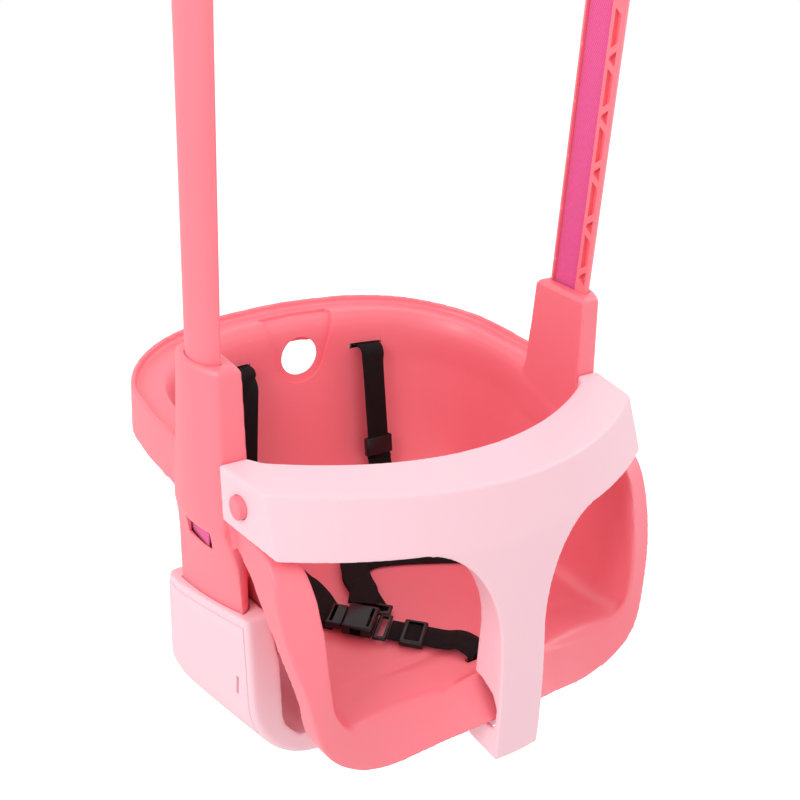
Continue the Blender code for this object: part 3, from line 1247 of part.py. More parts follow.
def make_crotch_strap(material):
    """From below the floor up through the front slot and back to the ring."""
    unit = ROUTE_UNIT
    points = [Vector((0, CROTCH_SLOT_Y + ahead * unit, FLOOR_Z + height * unit))
              for ahead, height in ((0.0, -14.0), (0.0, -6.0), (0.0, -1.0), (1.6, 4.2))]
    points += [chain_point(116.0 * unit, 0.0, SLIDER_MIDDLE + 2.5 * unit), chain_point(103.0 * unit, 0.0, SLIDER_MIDDLE),
               chain_point(SLIDER_START + SLIDER_LENGTH, 0.0, SLIDER_MIDDLE),
               chain_point(SLIDER_START, 0.0, SLIDER_MIDDLE), chain_point(RING_END + GAP, 0.0, SLIDER_MIDDLE)]
    line = smooth_points(points, 3)
    across = []
    for index in range(len(line)):
        share = min(max((index - 8) / 7, 0.0), 1.0)
        start = Vector((1, 0, 0))
        end = Vector((math.cos(CHAIN_TURN + math.pi / 2), math.sin(CHAIN_TURN + math.pi / 2), 0))
        across.append(start.lerp(end, share).normalized())
    mesh = ribbon_mesh("crotch_strap", line, across, STRAP_WIDTH, STRAP_THICKNESS)
    return add_object("crotch_strap", mesh, material)


SLIDER_MIDDLE = STRAP_LAY + SLIDER_THICKNESS / 2
RING_START = TONGUE_START + TONGUE_LENGTH + SOCKET_LENGTH + 3 * GAP
RING_END = RING_START + 11.5 * ROUTE_UNIT


def run_direction():
    return Vector((0.0, RUN_TOP[0] - RUN_BOTTOM[0], RUN_TOP[1] - RUN_BOTTOM[1])).normalized()


def make_adjuster(label, side, material):
    """A slide adjuster round the shoulder strap's straight run."""
    share = (ADJUSTER_Z - RUN_BOTTOM[1]) / (RUN_TOP[1] - RUN_BOTTOM[1])
    middle_y = RUN_BOTTOM[0] + (RUN_TOP[0] - RUN_BOTTOM[0]) * share
    pivot = bpy.data.objects.new(f"{label}_adjuster_run", None)
    pivot.location = (side * STRAP_X, middle_y, ADJUSTER_Z)
    pivot.rotation_euler = run_direction().to_track_quat("Z", "Y").to_euler()
    pivot.parent = DATUM
    PARTS.objects.link(pivot)
    half = Vector((ADJUSTER_WIDTH / 2, ADJUSTER_THICKNESS / 2, ADJUSTER_LENGTH / 2))
    adjuster = add_object(f"{label}_adjuster", box_mesh(f"{label}_adjuster", -half, half), material, pivot)
    room = Vector((STRAP_WIDTH / 2 + SLIDE_GAP, STRAP_THICKNESS / 2 + SLIDE_GAP, ADJUSTER_LENGTH))
    boolean(adjuster, add_cutter(f"{label}_adjuster_way", box_mesh("way", -room, room), pivot))
    return adjuster


def make_anchor(name, frame, material):
    """A flat bar with a slot that keeps a strap's end behind the wall or under the floor."""
    half = Vector((ANCHOR_LENGTH, ANCHOR_WIDTH, ANCHOR_THICKNESS)) / 2
    room = Vector((STRAP_SLOT_WIDTH, ANCHOR_SLOT, 3 * ANCHOR_THICKNESS)) / 2
    body = box_mesh(name, -half, half)
    body.transform(frame)
    slot = box_mesh("slot", -room, room)
    slot.transform(frame)
    anchor = add_object(name, body, material)
    boolean(anchor, add_cutter(f"{name}_slot", slot))
    return anchor


SHOULDER_ANCHOR_Y = 0.2094
LAP_ANCHOR_DROP = WALL + GAP + ANCHOR_THICKNESS / 2
CROTCH_ANCHOR_Z = FLOOR_Z - 0.0064


def make_anchors(material):
    upright = Matrix.Rotation(math.radians(90), 4, "X")
    for label, side in SIDES.items():
        behind = Matrix.Translation((side * STRAP_X, SHOULDER_ANCHOR_Y, STRAP_SLOT_Z)) @ upright
        make_anchor(f"{label}_shoulder_anchor", behind, material)
        make_anchor(f"{label}_lap_anchor", lap_frame(side) @ Matrix.Translation((0, 0, -LAP_ANCHOR_DROP)), material)
    make_anchor("crotch_anchor", Matrix.Translation((0, CROTCH_SLOT_Y, CROTCH_ANCHOR_Z)), material)


def make_tongue(material):
    """The buckle's tongue: a flat body with a strap bar and two prongs."""
    low = BUCKLE_LIFT + (SOCKET_THICKNESS - TONGUE_THICKNESS) / 2
    end = TONGUE_START + TONGUE_LENGTH
    body = chain_box("buckle_tongue", TONGUE_START, end, TONGUE_WIDTH / 2, low, low + TONGUE_THICKNESS)
    tongue = add_object("buckle_tongue", body, material)
    prong_low = BUCKLE_LIFT + (SOCKET_THICKNESS - PRONG_THICKNESS) / 2
    for name, offset in (("near", -PRONG_SPREAD / 2), ("far", PRONG_SPREAD / 2)):
        prong = chain_box("prong", end - 0.001, end + PRONG_LENGTH, PRONG_WIDTH / 2, prong_low,
                          prong_low + PRONG_THICKNESS, offset)
        boolean(tongue, add_cutter(f"{name}_prong", prong), "UNION")
    return tongue


def make_socket(material):
    """The buckle's socket, open where the prongs go in."""
    start = TONGUE_START + TONGUE_LENGTH + GAP
    body = chain_box("buckle_socket", start, start + SOCKET_LENGTH, SOCKET_WIDTH / 2, BUCKLE_LIFT,
                     BUCKLE_LIFT + SOCKET_THICKNESS)
    socket = add_object("buckle_socket", body, material)
    room = chain_box("socket_room", start - 0.001, start + PRONG_LENGTH + 0.001, SOCKET_WIDTH / 2 - SOCKET_WALL,
                     BUCKLE_LIFT + SOCKET_WALL, BUCKLE_LIFT + SOCKET_THICKNESS - SOCKET_WALL)
    boolean(socket, add_cutter("socket_room", room))
    return socket


def make_harness_ring(material):
    """A flat rectangular ring between the socket and the crotch strap."""
    half = STRAP_WIDTH / 2 + 0.004
    body = chain_box("harness_ring", RING_START, RING_END, half, BUCKLE_LIFT, BUCKLE_LIFT + RING_BAR)
    ring = add_object("harness_ring", body, material)
    hole = chain_box("ring_hole", RING_START + RING_BAR, RING_END - RING_BAR, half - RING_BAR, 0.0, BUCKLE_LIFT + 0.01)
    boolean(ring, add_cutter("ring_hole", hole))
    return ring


def make_crotch_slider(material):
    """The ladder-lock that shortens the crotch strap."""
    low = SLIDER_MIDDLE - SLIDER_THICKNESS / 2
    body = chain_box("crotch_slider", SLIDER_START, SLIDER_START + SLIDER_LENGTH, SLIDER_WIDTH / 2, low,
                     low + SLIDER_THICKNESS)
    slider = add_object("crotch_slider", body, material)
    half = STRAP_THICKNESS / 2 + SLIDE_GAP
    room = chain_box("slider_way", SLIDER_START - 0.01, SLIDER_START + SLIDER_LENGTH + 0.01,
                     STRAP_WIDTH / 2 + SLIDE_GAP, SLIDER_MIDDLE - half, SLIDER_MIDDLE + half)
    boolean(slider, add_cutter("slider_way", room))
    return slider


def make_link(material):
    """The plate that joins the right shoulder and lap straps to the buckle."""
    body = chain_box("harness_link", LINK_START, LINK_START + LINK_LENGTH, LINK_WIDTH / 2, LINK_LOW,
                     LINK_LOW + LINK_THICKNESS, LINK_OFFSET + LINK_WIDTH / 2)
    link = add_object("harness_link", body, material)
    hole = chain_box("link_hole", LINK_START + RING_BAR, LINK_START + LINK_LENGTH - RING_BAR,
                     LINK_WIDTH / 2 - RING_BAR, 0.0, 0.02, LINK_OFFSET + LINK_WIDTH / 2)
    boolean(link, add_cutter("link_hole", hole))
    return link


def main():
    coral = make_material("coral_plastic", CORAL, 0.42)
    pale = make_material("pale_pink_plastic", PALE_PINK, 0.42)
    magenta = make_material("magenta_webbing", MAGENTA, 0.8)
    black = make_material("black_webbing", BLACK, 0.85)
    black_plastic = make_material("black_plastic", BLACK, 0.35)
    steel = make_material("zinc_plated_steel", STEEL, 0.3, 1.0)
    make_seat_shell(coral)
    make_guard(pale)
    make_base(pale)
    make_load_webbing(magenta)
    for label, side in SIDES.items():
        make_arm(label, side, coral)
        make_arm_cap(label, side, coral)
        make_ring(label, side, steel)
        make_hook(label, side, steel)
        make_gate(label, side, steel)
        make_gate_pin(label, side, steel)
        make_cover(label, side, pale)
        make_screw(label, side, steel)
        make_button(label, side, coral)
        make_button_spring(label, side, steel)
        make_shoulder_strap(label, side, black)
        make_lap_strap(label, side, black)
        make_adjuster(label, side, black_plastic)
    make_crotch_strap(black)
    make_anchors(black_plastic)
    make_tongue(black_plastic)
    make_socket(black_plastic)
    make_harness_ring(black_plastic)
    make_crotch_slider(black_plastic)
    make_link(black_plastic)


main()
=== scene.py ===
# %% [markdown]
# An outdoor baby swing: a moulded bucket seat between two stiff arms, with a pale T-shaped guard.
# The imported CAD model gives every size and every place. This script dresses it: it builds the seat,
# the guard, the base, the arms and the harness again with soft moulded edges, puts a finish on
# each, and lets each new piece ride on the body that it belongs to.

# %% Start with the frame
import math

import bpy
from mathutils import Matrix, Vector


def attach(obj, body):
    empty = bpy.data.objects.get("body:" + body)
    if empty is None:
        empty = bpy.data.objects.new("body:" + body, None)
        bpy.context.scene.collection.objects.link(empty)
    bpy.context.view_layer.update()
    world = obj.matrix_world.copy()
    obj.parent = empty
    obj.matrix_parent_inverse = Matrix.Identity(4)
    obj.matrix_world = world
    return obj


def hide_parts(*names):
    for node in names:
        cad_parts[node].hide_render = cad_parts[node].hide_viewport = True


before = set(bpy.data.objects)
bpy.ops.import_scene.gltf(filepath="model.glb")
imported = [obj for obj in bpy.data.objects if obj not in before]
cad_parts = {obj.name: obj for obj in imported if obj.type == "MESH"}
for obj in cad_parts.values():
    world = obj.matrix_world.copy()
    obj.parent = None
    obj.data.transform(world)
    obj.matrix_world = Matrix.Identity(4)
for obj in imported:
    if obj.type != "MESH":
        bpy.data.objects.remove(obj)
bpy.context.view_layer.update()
SIDES = {"left": -1, "right": 1}

# %% [markdown]
# The seat is measured in millimetres from its own datum: x = 0 in the middle, y = 0 at the front of
# the columns' tops and z = 0 at their height. The swing's axis lies 38 mm behind and 392 mm above
# that point, so one small function carries a measured place into the scene's metres.

# %% Places in the seat's own millimetres
def at(x, y, z):
    return Vector((x, y - 38.0, z - 392.0)) * 0.001


def placed(points):
    return [at(*point) for point in points]


print("columns' tops stand at", tuple(round(c, 3) for c in at(0, 0, 0)))

# %% [markdown]
# The camera stands where the photographer's stood: left of the swing, in front of it and above it,
# with a slight roll. It is made first, so that every later step can be judged through it.

# %% Camera
CAMERA_ANGLES = (-35.0234, 25.5475, 3.5007)
CAMERA_PLACE = (-0.4519, -0.6475, -0.0916)
FOCAL_PIXELS, FRAME_PIXELS, SENSOR_WIDTH = 1039.72, 800.0, 36.0


def make_camera():
    turn, rise, roll = (math.radians(angle) for angle in CAMERA_ANGLES)
    back = Vector((math.sin(turn) * math.cos(rise), -math.cos(turn) * math.cos(rise), math.sin(rise)))
    right = Vector((math.cos(turn), math.sin(turn), 0.0))
    up = back.cross(right)
    right, up = (math.cos(roll) * right + math.sin(roll) * up, math.cos(roll) * up - math.sin(roll) * right)
    bpy.ops.object.select_all(action="DESELECT")
    bpy.ops.object.camera_add()
    camera = bpy.context.object
    place = Matrix((right, up, back)).transposed().to_4x4()
    place.translation = CAMERA_PLACE
    camera.matrix_world = place
    camera.data.sensor_width = SENSOR_WIDTH
    camera.data.lens = SENSOR_WIDTH * FOCAL_PIXELS / FRAME_PIXELS
    camera.data.clip_start = 0.02
    bpy.context.scene.camera = camera
    return camera


camera = make_camera()
print("camera", [round(c, 3) for c in camera.location], "lens", round(camera.data.lens, 2))

# %% [markdown]
# The light is that of a studio picture on white: a bright room, one large soft lamp from the left
# and above, and a weaker one from the right. The world is white for the camera and for
# reflections, and a little dimmer as light, so that the colours render about as they are written.
# The floor lies well below the hanging seat. It is pale and takes the seat's shadow.

# %% Light and floor
def white_for_eye(tree, strength_light):
    """One where the camera or a reflection looks, and the given strength for all other rays."""
    path = tree.nodes.new("ShaderNodeLightPath")
    seen = tree.nodes.new("ShaderNodeMath")
    seen.operation = "MAXIMUM"
    tree.links.new(path.outputs["Is Camera Ray"], seen.inputs[0])
    tree.links.new(path.outputs["Is Glossy Ray"], seen.inputs[1])
    both = tree.nodes.new("ShaderNodeMath")
    both.operation = "MAXIMUM"
    tree.links.new(seen.outputs[0], both.inputs[0])
    tree.links.new(path.outputs["Is Transmission Ray"], both.inputs[1])
    level = tree.nodes.new("ShaderNodeMapRange")
    level.inputs["To Min"].default_value = strength_light
    level.inputs["To Max"].default_value = 1.0
    tree.links.new(both.outputs[0], level.inputs["Value"])
    return level.outputs["Result"]


def make_world(strength):
    world = bpy.data.worlds.new("studio")
    bpy.context.scene.world = world
    world.use_nodes = True
    sky = world.node_tree.nodes["Background"]
    sky.inputs["Color"].default_value = (1.0, 1.0, 1.0, 1.0)
    world.node_tree.links.new(white_for_eye(world.node_tree, strength), sky.inputs["Strength"])


def soft_lamp(name, place, target, size, power):
    bpy.ops.object.light_add(type="AREA", location=place)
    lamp = bpy.context.object
    lamp.name = name
    lamp.data.shape = "SQUARE"
    lamp.data.size = size
    lamp.data.energy = power
    lamp.rotation_euler = (Vector(target) - Vector(place)).to_track_quat("-Z", "Y").to_euler()
    return lamp


def make_floor():
    bpy.ops.mesh.primitive_plane_add(size=14.0, location=(0.0, 3.0, -1.25))
    floor = bpy.context.object
    floor.name = "studio_floor"
    material = bpy.data.materials.new("studio_floor")
    material.use_nodes = True
    shader = material.node_tree.nodes["Principled BSDF"]
    shader.inputs["Base Color"].default_value = (0.86, 0.86, 0.86, 1.0)
    shader.inputs["Roughness"].default_value = 0.9
    shader.inputs["Emission Color"].default_value = (1.0, 1.0, 1.0, 1.0)
    path = material.node_tree.nodes.new("ShaderNodeLightPath")
    glow = material.node_tree.nodes.new("ShaderNodeMapRange")
    glow.inputs["To Max"].default_value = 0.5
    material.node_tree.links.new(path.outputs["Is Camera Ray"], glow.inputs["Value"])
    material.node_tree.links.new(glow.outputs["Result"], shader.inputs["Emission Strength"])
    floor.data.materials.append(material)


make_world(0.80)
soft_lamp("key", (-2.3, -0.5, 1.4), (0.0, 0.0, -0.5), 1.7, 37.0)
soft_lamp("fill", (2.3, -0.6, 1.0), (0.0, 0.0, -0.5), 1.7, 19.0)
make_floor()
bpy.context.scene.view_settings.view_transform = "Standard"

# %% [markdown]
# Injection-moulded plastic is never one flat colour. Its surface carries a very fine spark-eroded
# grain, and its shade and gloss drift a little where the melt cooled faster. Coral, pale pink and
# black plastic all need this, so it is one node group with its own sockets.

# %% Node group: moulded plastic
def new_group(name, inputs, outputs):
    group = bpy.data.node_groups.new(name, "ShaderNodeTree")
    for socket, kind, value in inputs:
        made = group.interface.new_socket(socket, in_out="INPUT", socket_type=kind)
        made.default_value = value
    for socket, kind in outputs:
        group.interface.new_socket(socket, in_out="OUTPUT", socket_type=kind)
    source = group.nodes.new("NodeGroupInput")
    result = group.nodes.new("NodeGroupOutput")
    return group, source, result


def moulded_group():
    group, source, result = new_group(
        "moulded_plastic",
        [("Colour", "NodeSocketColor", (0.8, 0.8, 0.8, 1.0)), ("Drift", "NodeSocketFloat", 0.06),
         ("Roughness", "NodeSocketFloat", 0.4), ("Grain Height", "NodeSocketFloat", 0.15)],
        [("Colour", "NodeSocketColor"), ("Roughness", "NodeSocketFloat"), ("Normal", "NodeSocketVector")])
    node, link = group.nodes.new, group.links.new
    place = node("ShaderNodeTexCoord")
    broad = node("ShaderNodeTexNoise")
    broad.inputs["Scale"].default_value = 9.0
    broad.inputs["Detail"].default_value = 3.0
    fine = node("ShaderNodeTexNoise")
    fine.inputs["Scale"].default_value = 2200.0
    fine.inputs["Detail"].default_value = 2.0
    link(place.outputs["Object"], broad.inputs["Vector"])
    link(place.outputs["Object"], fine.inputs["Vector"])
    centred = node("ShaderNodeMath")
    centred.operation = "SUBTRACT"
    centred.inputs[1].default_value = 0.5
    link(broad.outputs["Fac"], centred.inputs[0])
    amount = node("ShaderNodeMath")
    amount.operation = "MULTIPLY"
    link(centred.outputs[0], amount.inputs[0])
    link(source.outputs["Drift"], amount.inputs[1])
    value = node("ShaderNodeMath")
    value.operation = "ADD"
    value.inputs[1].default_value = 1.0
    link(amount.outputs[0], value.inputs[0])
    tint = node("ShaderNodeHueSaturation")
    link(value.outputs[0], tint.inputs["Value"])
    link(source.outputs["Colour"], tint.inputs["Color"])
    link(tint.outputs["Color"], result.inputs["Colour"])
    gloss = node("ShaderNodeMath")
    gloss.operation = "MULTIPLY_ADD"
    gloss.inputs[1].default_value = 0.12
    link(centred.outputs[0], gloss.inputs[0])
    link(source.outputs["Roughness"], gloss.inputs[2])
    link(gloss.outputs[0], result.inputs["Roughness"])
    bump = node("ShaderNodeBump")
    bump.inputs["Distance"].default_value = 0.00012
    link(source.outputs["Grain Height"], bump.inputs["Strength"])
    link(fine.outputs["Fac"], bump.inputs["Height"])
    link(bump.outputs["Normal"], result.inputs["Normal"])
    return group


MOULDED = moulded_group()
print("group sockets:", [s.name for s in MOULDED.interface.items_tree])

# %% [markdown]
# The three plastics take that group with their own values. The coral is slightly see-through, so
# light that enters a thin wall comes out redder. The pale pink is the same kind of plastic with
# more white in it. The harness's buckles are a harder black one with a polished surface.

# %% Materials: the plastics
def plastic(name, colour, roughness, drift=0.06, grain=0.15, glow=0.0, radius=(1.0, 0.3, 0.3), gloss=0.5):
    material = bpy.data.materials.new(name)
    material.use_nodes = True
    tree = material.node_tree
    shader = tree.nodes["Principled BSDF"]
    finish = tree.nodes.new("ShaderNodeGroup")
    finish.node_tree = MOULDED
    finish.inputs["Colour"].default_value = (*colour, 1.0)
    finish.inputs["Drift"].default_value = drift
    finish.inputs["Roughness"].default_value = roughness
    finish.inputs["Grain Height"].default_value = grain
    tree.links.new(finish.outputs["Colour"], shader.inputs["Base Color"])
    tree.links.new(finish.outputs["Roughness"], shader.inputs["Roughness"])
    tree.links.new(finish.outputs["Normal"], shader.inputs["Normal"])
    shader.inputs["Specular IOR Level"].default_value = gloss
    if glow:
        shader.inputs["Subsurface Weight"].default_value = glow
        shader.inputs["Subsurface Scale"].default_value = 0.004
        shader.inputs["Subsurface Radius"].default_value = radius
    material.diffuse_color = (*colour, 1.0)
    return material


CORAL = plastic("coral_plastic", (0.985, 0.20, 0.25), 0.42, glow=0.15, gloss=0.9)
PALE = plastic("pale_pink_plastic", (0.955, 0.61, 0.675), 0.44, drift=0.03, glow=0.1,
               radius=(1.0, 0.6, 0.6))
BLACK_PLASTIC = plastic("black_plastic", (0.009, 0.007, 0.008), 0.24, drift=0.3, grain=0.08, gloss=0.36)

# %% [markdown]
# Webbing is a tape woven on a narrow loom: thick threads run along it and thinner ones bind them
# from side to side, which gives a fine rib. The pattern has to follow the tape round every bend,
# so it reads the tape's own UV map, in which one unit is one metre along or across it.

# %% Node group and materials: woven webbing
def weave_group():
    group, source, result = new_group(
        "woven_webbing",
        [("Colour", "NodeSocketColor", (0.5, 0.5, 0.5, 1.0)),
         ("Painted Shade", "NodeSocketColor", (0.2, 0.2, 0.2, 1.0)), ("Thread", "NodeSocketFloat", 900.0)],
        [("Colour", "NodeSocketColor"), ("Height", "NodeSocketFloat"), ("Roughness", "NodeSocketFloat")])
    node, link = group.nodes.new, group.links.new
    place = node("ShaderNodeUVMap")
    place.uv_map = "tape"
    split = node("ShaderNodeSeparateXYZ")
    link(place.outputs["UV"], split.inputs[0])
    waves = []
    for axis, share in (("X", 1.0), ("Y", 0.72)):
        pitch = node("ShaderNodeMath")
        pitch.operation = "MULTIPLY"
        pitch.inputs[1].default_value = share * math.tau
        turn = node("ShaderNodeMath")
        turn.operation = "MULTIPLY"
        sine = node("ShaderNodeMath")
        sine.operation = "SINE"
        link(source.outputs["Thread"], pitch.inputs[0])
        link(split.outputs[axis], turn.inputs[0])
        link(pitch.outputs[0], turn.inputs[1])
        link(turn.outputs[0], sine.inputs[0])
        waves.append(sine)
    crossing = node("ShaderNodeMath")
    crossing.operation = "MULTIPLY"
    link(waves[0].outputs[0], crossing.inputs[0])
    link(waves[1].outputs[0], crossing.inputs[1])
    height = node("ShaderNodeMapRange")
    height.inputs["From Min"].default_value = -1.0
    link(crossing.outputs[0], height.inputs["Value"])
    fuzz = node("ShaderNodeTexNoise")
    fuzz.inputs["Scale"].default_value = 260.0
    fuzz.inputs["Detail"].default_value = 4.0
    link(place.outputs["UV"], fuzz.inputs["Vector"])
    mixed = node("ShaderNodeMath")
    mixed.operation = "MULTIPLY_ADD"
    mixed.inputs[1].default_value = 0.35
    link(fuzz.outputs["Fac"], mixed.inputs[0])
    link(height.outputs["Result"], mixed.inputs[2])
    link(mixed.outputs[0], result.inputs["Height"])
    # Where the weave lies low, the colour turns to the darker one. This is painted shade between the threads,
    # and the fuzz noise mixed in adds a real, random fibre tone.
    blend = node("ShaderNodeMix")
    blend.data_type = "RGBA"
    link(mixed.outputs[0], blend.inputs["Factor"])
    link(source.outputs["Painted Shade"], blend.inputs["A"])
    link(source.outputs["Colour"], blend.inputs["B"])
    link(blend.outputs["Result"], result.inputs["Colour"])
    rough = node("ShaderNodeMapRange")
    rough.inputs["To Min"].default_value = 0.9
    rough.inputs["To Max"].default_value = 0.68
    link(mixed.outputs[0], rough.inputs["Value"])
    link(rough.outputs["Result"], result.inputs["Roughness"])
    return group


WOVEN = weave_group()


def webbing(name, colour, painted_shade, thread, depth, sheen, gloss=0.5):
    material = bpy.data.materials.new(name)
    material.use_nodes = True
    tree = material.node_tree
    shader = tree.nodes["Principled BSDF"]
    cloth = tree.nodes.new("ShaderNodeGroup")
    cloth.node_tree = WOVEN
    cloth.inputs["Colour"].default_value = (*colour, 1.0)
    cloth.inputs["Painted Shade"].default_value = (*painted_shade, 1.0)
    cloth.inputs["Thread"].default_value = thread
    tree.links.new(cloth.outputs["Colour"], shader.inputs["Base Color"])
    tree.links.new(cloth.outputs["Roughness"], shader.inputs["Roughness"])
    bump = tree.nodes.new("ShaderNodeBump")
    bump.inputs["Strength"].default_value = 0.6
    bump.inputs["Distance"].default_value = depth
    tree.links.new(cloth.outputs["Height"], bump.inputs["Height"])
    tree.links.new(bump.outputs["Normal"], shader.inputs["Normal"])
    shader.inputs["Sheen Weight"].default_value = sheen
    shader.inputs["Specular IOR Level"].default_value = gloss
    material.diffuse_color = (*colour, 1.0)
    return material


# The second, darker colour of each webbing is painted shade for the low places of its weave.
MAGENTA_WEBBING = webbing("magenta_webbing", (0.90, 0.115, 0.36), (0.62, 0.04, 0.19), 420.0, 0.0003, 0.2)
BLACK_WEBBING = webbing("black_webbing", (0.010, 0.006, 0.007), (0.003, 0.002, 0.002), 560.0, 0.00025,
                        0.03, 0.15)

# %% [markdown]
# The hooks and rings are steel with a thin coat of zinc. Zinc shows as a soft, cloudy sheen with
# fine drawing marks, never as a mirror, so noise drives the roughness and a weak bump.

# %% Material: zinc-plated steel
def zinc():
    material = bpy.data.materials.new("zinc_plated_steel")
    material.use_nodes = True
    tree = material.node_tree
    shader = tree.nodes["Principled BSDF"]
    shader.inputs["Metallic"].default_value = 1.0
    place = tree.nodes.new("ShaderNodeTexCoord")
    cloud = tree.nodes.new("ShaderNodeTexNoise")
    cloud.inputs["Scale"].default_value = 140.0
    cloud.inputs["Detail"].default_value = 5.0
    tree.links.new(place.outputs["Object"], cloud.inputs["Vector"])
    colour = tree.nodes.new("ShaderNodeMix")
    colour.data_type = "RGBA"
    colour.inputs["A"].default_value = (0.50, 0.51, 0.53, 1.0)
    colour.inputs["B"].default_value = (0.70, 0.71, 0.71, 1.0)
    tree.links.new(cloud.outputs["Fac"], colour.inputs["Factor"])
    tree.links.new(colour.outputs["Result"], shader.inputs["Base Color"])
    rough = tree.nodes.new("ShaderNodeMapRange")
    rough.inputs["To Min"].default_value = 0.24
    rough.inputs["To Max"].default_value = 0.44
    tree.links.new(cloud.outputs["Fac"], rough.inputs["Value"])
    tree.links.new(rough.outputs["Result"], shader.inputs["Roughness"])
    bump = tree.nodes.new("ShaderNodeBump")
    bump.inputs["Strength"].default_value = 0.2
    bump.inputs["Distance"].default_value = 0.0001
    tree.links.new(cloud.outputs["Fac"], bump.inputs["Height"])
    tree.links.new(bump.outputs["Normal"], shader.inputs["Normal"])
    material.diffuse_color = (0.62, 0.63, 0.64, 1.0)
    return material


ZINC = zinc()

# %% [markdown]
# Most pieces go through the same few moves: pick an object, apply a modifier, cut it with another
# object, give it a finish and let it ride on its body. These moves are helpers. The cuts use the
# manifold Boolean, which is quick on dense meshes and keeps the result closed.

# %% Helpers: pick, modify, cut, finish
def pick(obj):
    bpy.ops.object.select_all(action="DESELECT")
    obj.select_set(True)
    bpy.context.view_layer.objects.active = obj
    return obj


def modify(obj, kind, **settings):
    pick(obj)
    modifier = obj.modifiers.new(kind.lower(), kind)
    for key, value in settings.items():
        setattr(modifier, key, value)
    bpy.ops.object.modifier_apply(modifier=modifier.name)
    return obj


def cut(obj, *cutters, operation="DIFFERENCE"):
    for cutter in cutters:
        before = len(obj.data.polygons)
        modify(obj, "BOOLEAN", object=cutter, operation=operation, solver="MANIFOLD")
        if len(obj.data.polygons) in (0, before):
            print("no change by", cutter.name, "on", obj.name)
        bpy.data.objects.remove(cutter, do_unlink=True)
    return obj


def joined(first, *others):
    bpy.ops.object.select_all(action="DESELECT")
    for obj in (first, *others):
        obj.select_set(True)
    bpy.context.view_layer.objects.active = first
    bpy.ops.object.join()
    return first


def edited(obj, *moves):
    """Runs edit-mode moves on the whole mesh of an object."""
    pick(obj)
    bpy.ops.object.mode_set(mode="EDIT")
    bpy.ops.mesh.select_all(action="SELECT")
    for move, settings in moves:
        move(**settings)
    bpy.ops.object.mode_set(mode="OBJECT")
    return obj


def outward(obj):
    return edited(obj, (bpy.ops.mesh.remove_doubles, {"threshold": 0.00001}),
                  (bpy.ops.mesh.normals_make_consistent, {"inside": False}))


def mirrored(obj, name):
    """A copy with its own mesh, mirrored to the other side."""
    copy = obj.copy()
    copy.data = obj.data.copy()
    copy.name = copy.data.name = name
    bpy.context.collection.objects.link(copy)
    copy.data.transform(Matrix.Scale(-1.0, 4, (1, 0, 0)))
    copy.data.flip_normals()
    return copy


def finished(obj, name, material, body, slot, *nodes, angle=35.0):
    obj.name = obj.data.name = name
    obj.data.materials.clear()
    obj.data.materials.append(material)
    pick(obj)
    bpy.ops.object.transform_apply(location=True, rotation=True, scale=True)
    bpy.ops.object.shade_smooth_by_angle(angle=math.radians(angle))
    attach(obj, body)
    if nodes:
        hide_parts(*nodes)
    size = obj.dimensions * 1000
    print(f"{name}: {size.x:.0f} x {size.y:.0f} x {size.z:.0f} mm, {len(obj.data.polygons)} faces")
    return obj


# %% [markdown]
# Long moulded forms are drawn as a row of cross-sections, like the ribs of a boat. Blender has no
# single tool for that, so a plain grid is added and its points are laid on the sections: open for
# a skin, or closed into a tube with filled ends. The grid keeps a UV map called tape whose units
# are metres along and across, which the webbing's weave needs.

# %% Helper: a grid laid on sections
def skin(name, rows, ring=False):
    bpy.ops.object.select_all(action="DESELECT")
    rows = [list(row) + [row[0]] if ring else list(row) for row in rows]
    across, along = len(rows[0]), len(rows)
    bpy.ops.mesh.primitive_grid_add(x_subdivisions=across - 1, y_subdivisions=along - 1, size=1.0)
    obj = bpy.context.object
    obj.name = obj.data.name = name
    mesh = obj.data
    for vert, point in zip(mesh.vertices, (p for row in rows for p in row)):
        vert.co = point
    down = [0.0]
    for upper, lower in zip(rows[:-1], rows[1:]):
        down.append(down[-1] + sum((a - b).length for a, b in zip(upper, lower)) / across)
    over = [0.0]
    middle = rows[along // 2]
    for a, b in zip(middle[:-1], middle[1:]):
        over.append(over[-1] + (a - b).length)
    mesh.uv_layers[0].name = "tape"
    for loop, spot in zip(mesh.loops, mesh.uv_layers[0].data):
        row, column = divmod(loop.vertex_index, across)
        spot.uv = (over[column], down[row])
    if ring:
        outward(edited(obj, (bpy.ops.mesh.remove_doubles, {"threshold": 0.00001}),
                       (bpy.ops.mesh.fill_holes, {"sides": 0})))
    return obj


def through(points, steps):
    """Points on a smooth curve through the given ones."""
    points = [Vector(p) for p in points]
    ends = [2 * points[0] - points[1], *points, 2 * points[-1] - points[-2]]
    result = []
    for a, b, c, d in zip(ends[:-3], ends[1:-2], ends[2:-1], ends[3:]):
        for step in range(steps):
            t = step / steps
            result.append(0.5 * ((2 * b) + (c - a) * t + (2 * a - 5 * b + 4 * c - d) * t ** 2
                                 + (3 * b - a - 3 * c + d) * t ** 3))
    return result + [points[-1]]


def between(values, steps):
    """Values on straight lines between the given ones, as many as through gives."""
    result = []
    for a, b in zip(values[:-1], values[1:]):
        result += [a + (b - a) * step / steps for step in range(steps)]
    return result + [values[-1]]


def block(name, low, high, bevel=0.0, segments=2):
    """A cube between two corners in the seat's millimetres, for cutting and for small parts."""
    low, high = at(*low), at(*high)
    bpy.ops.object.select_all(action="DESELECT")
    bpy.ops.mesh.primitive_cube_add(size=1.0, location=(low + high) / 2, scale=high - low)
    obj = bpy.context.object
    obj.name = name
    bpy.ops.object.transform_apply(location=True, rotation=True, scale=True)
    if bevel:
        modify(obj, "BEVEL", width=bevel * 0.001, segments=segments, limit_method="ANGLE")
    return obj


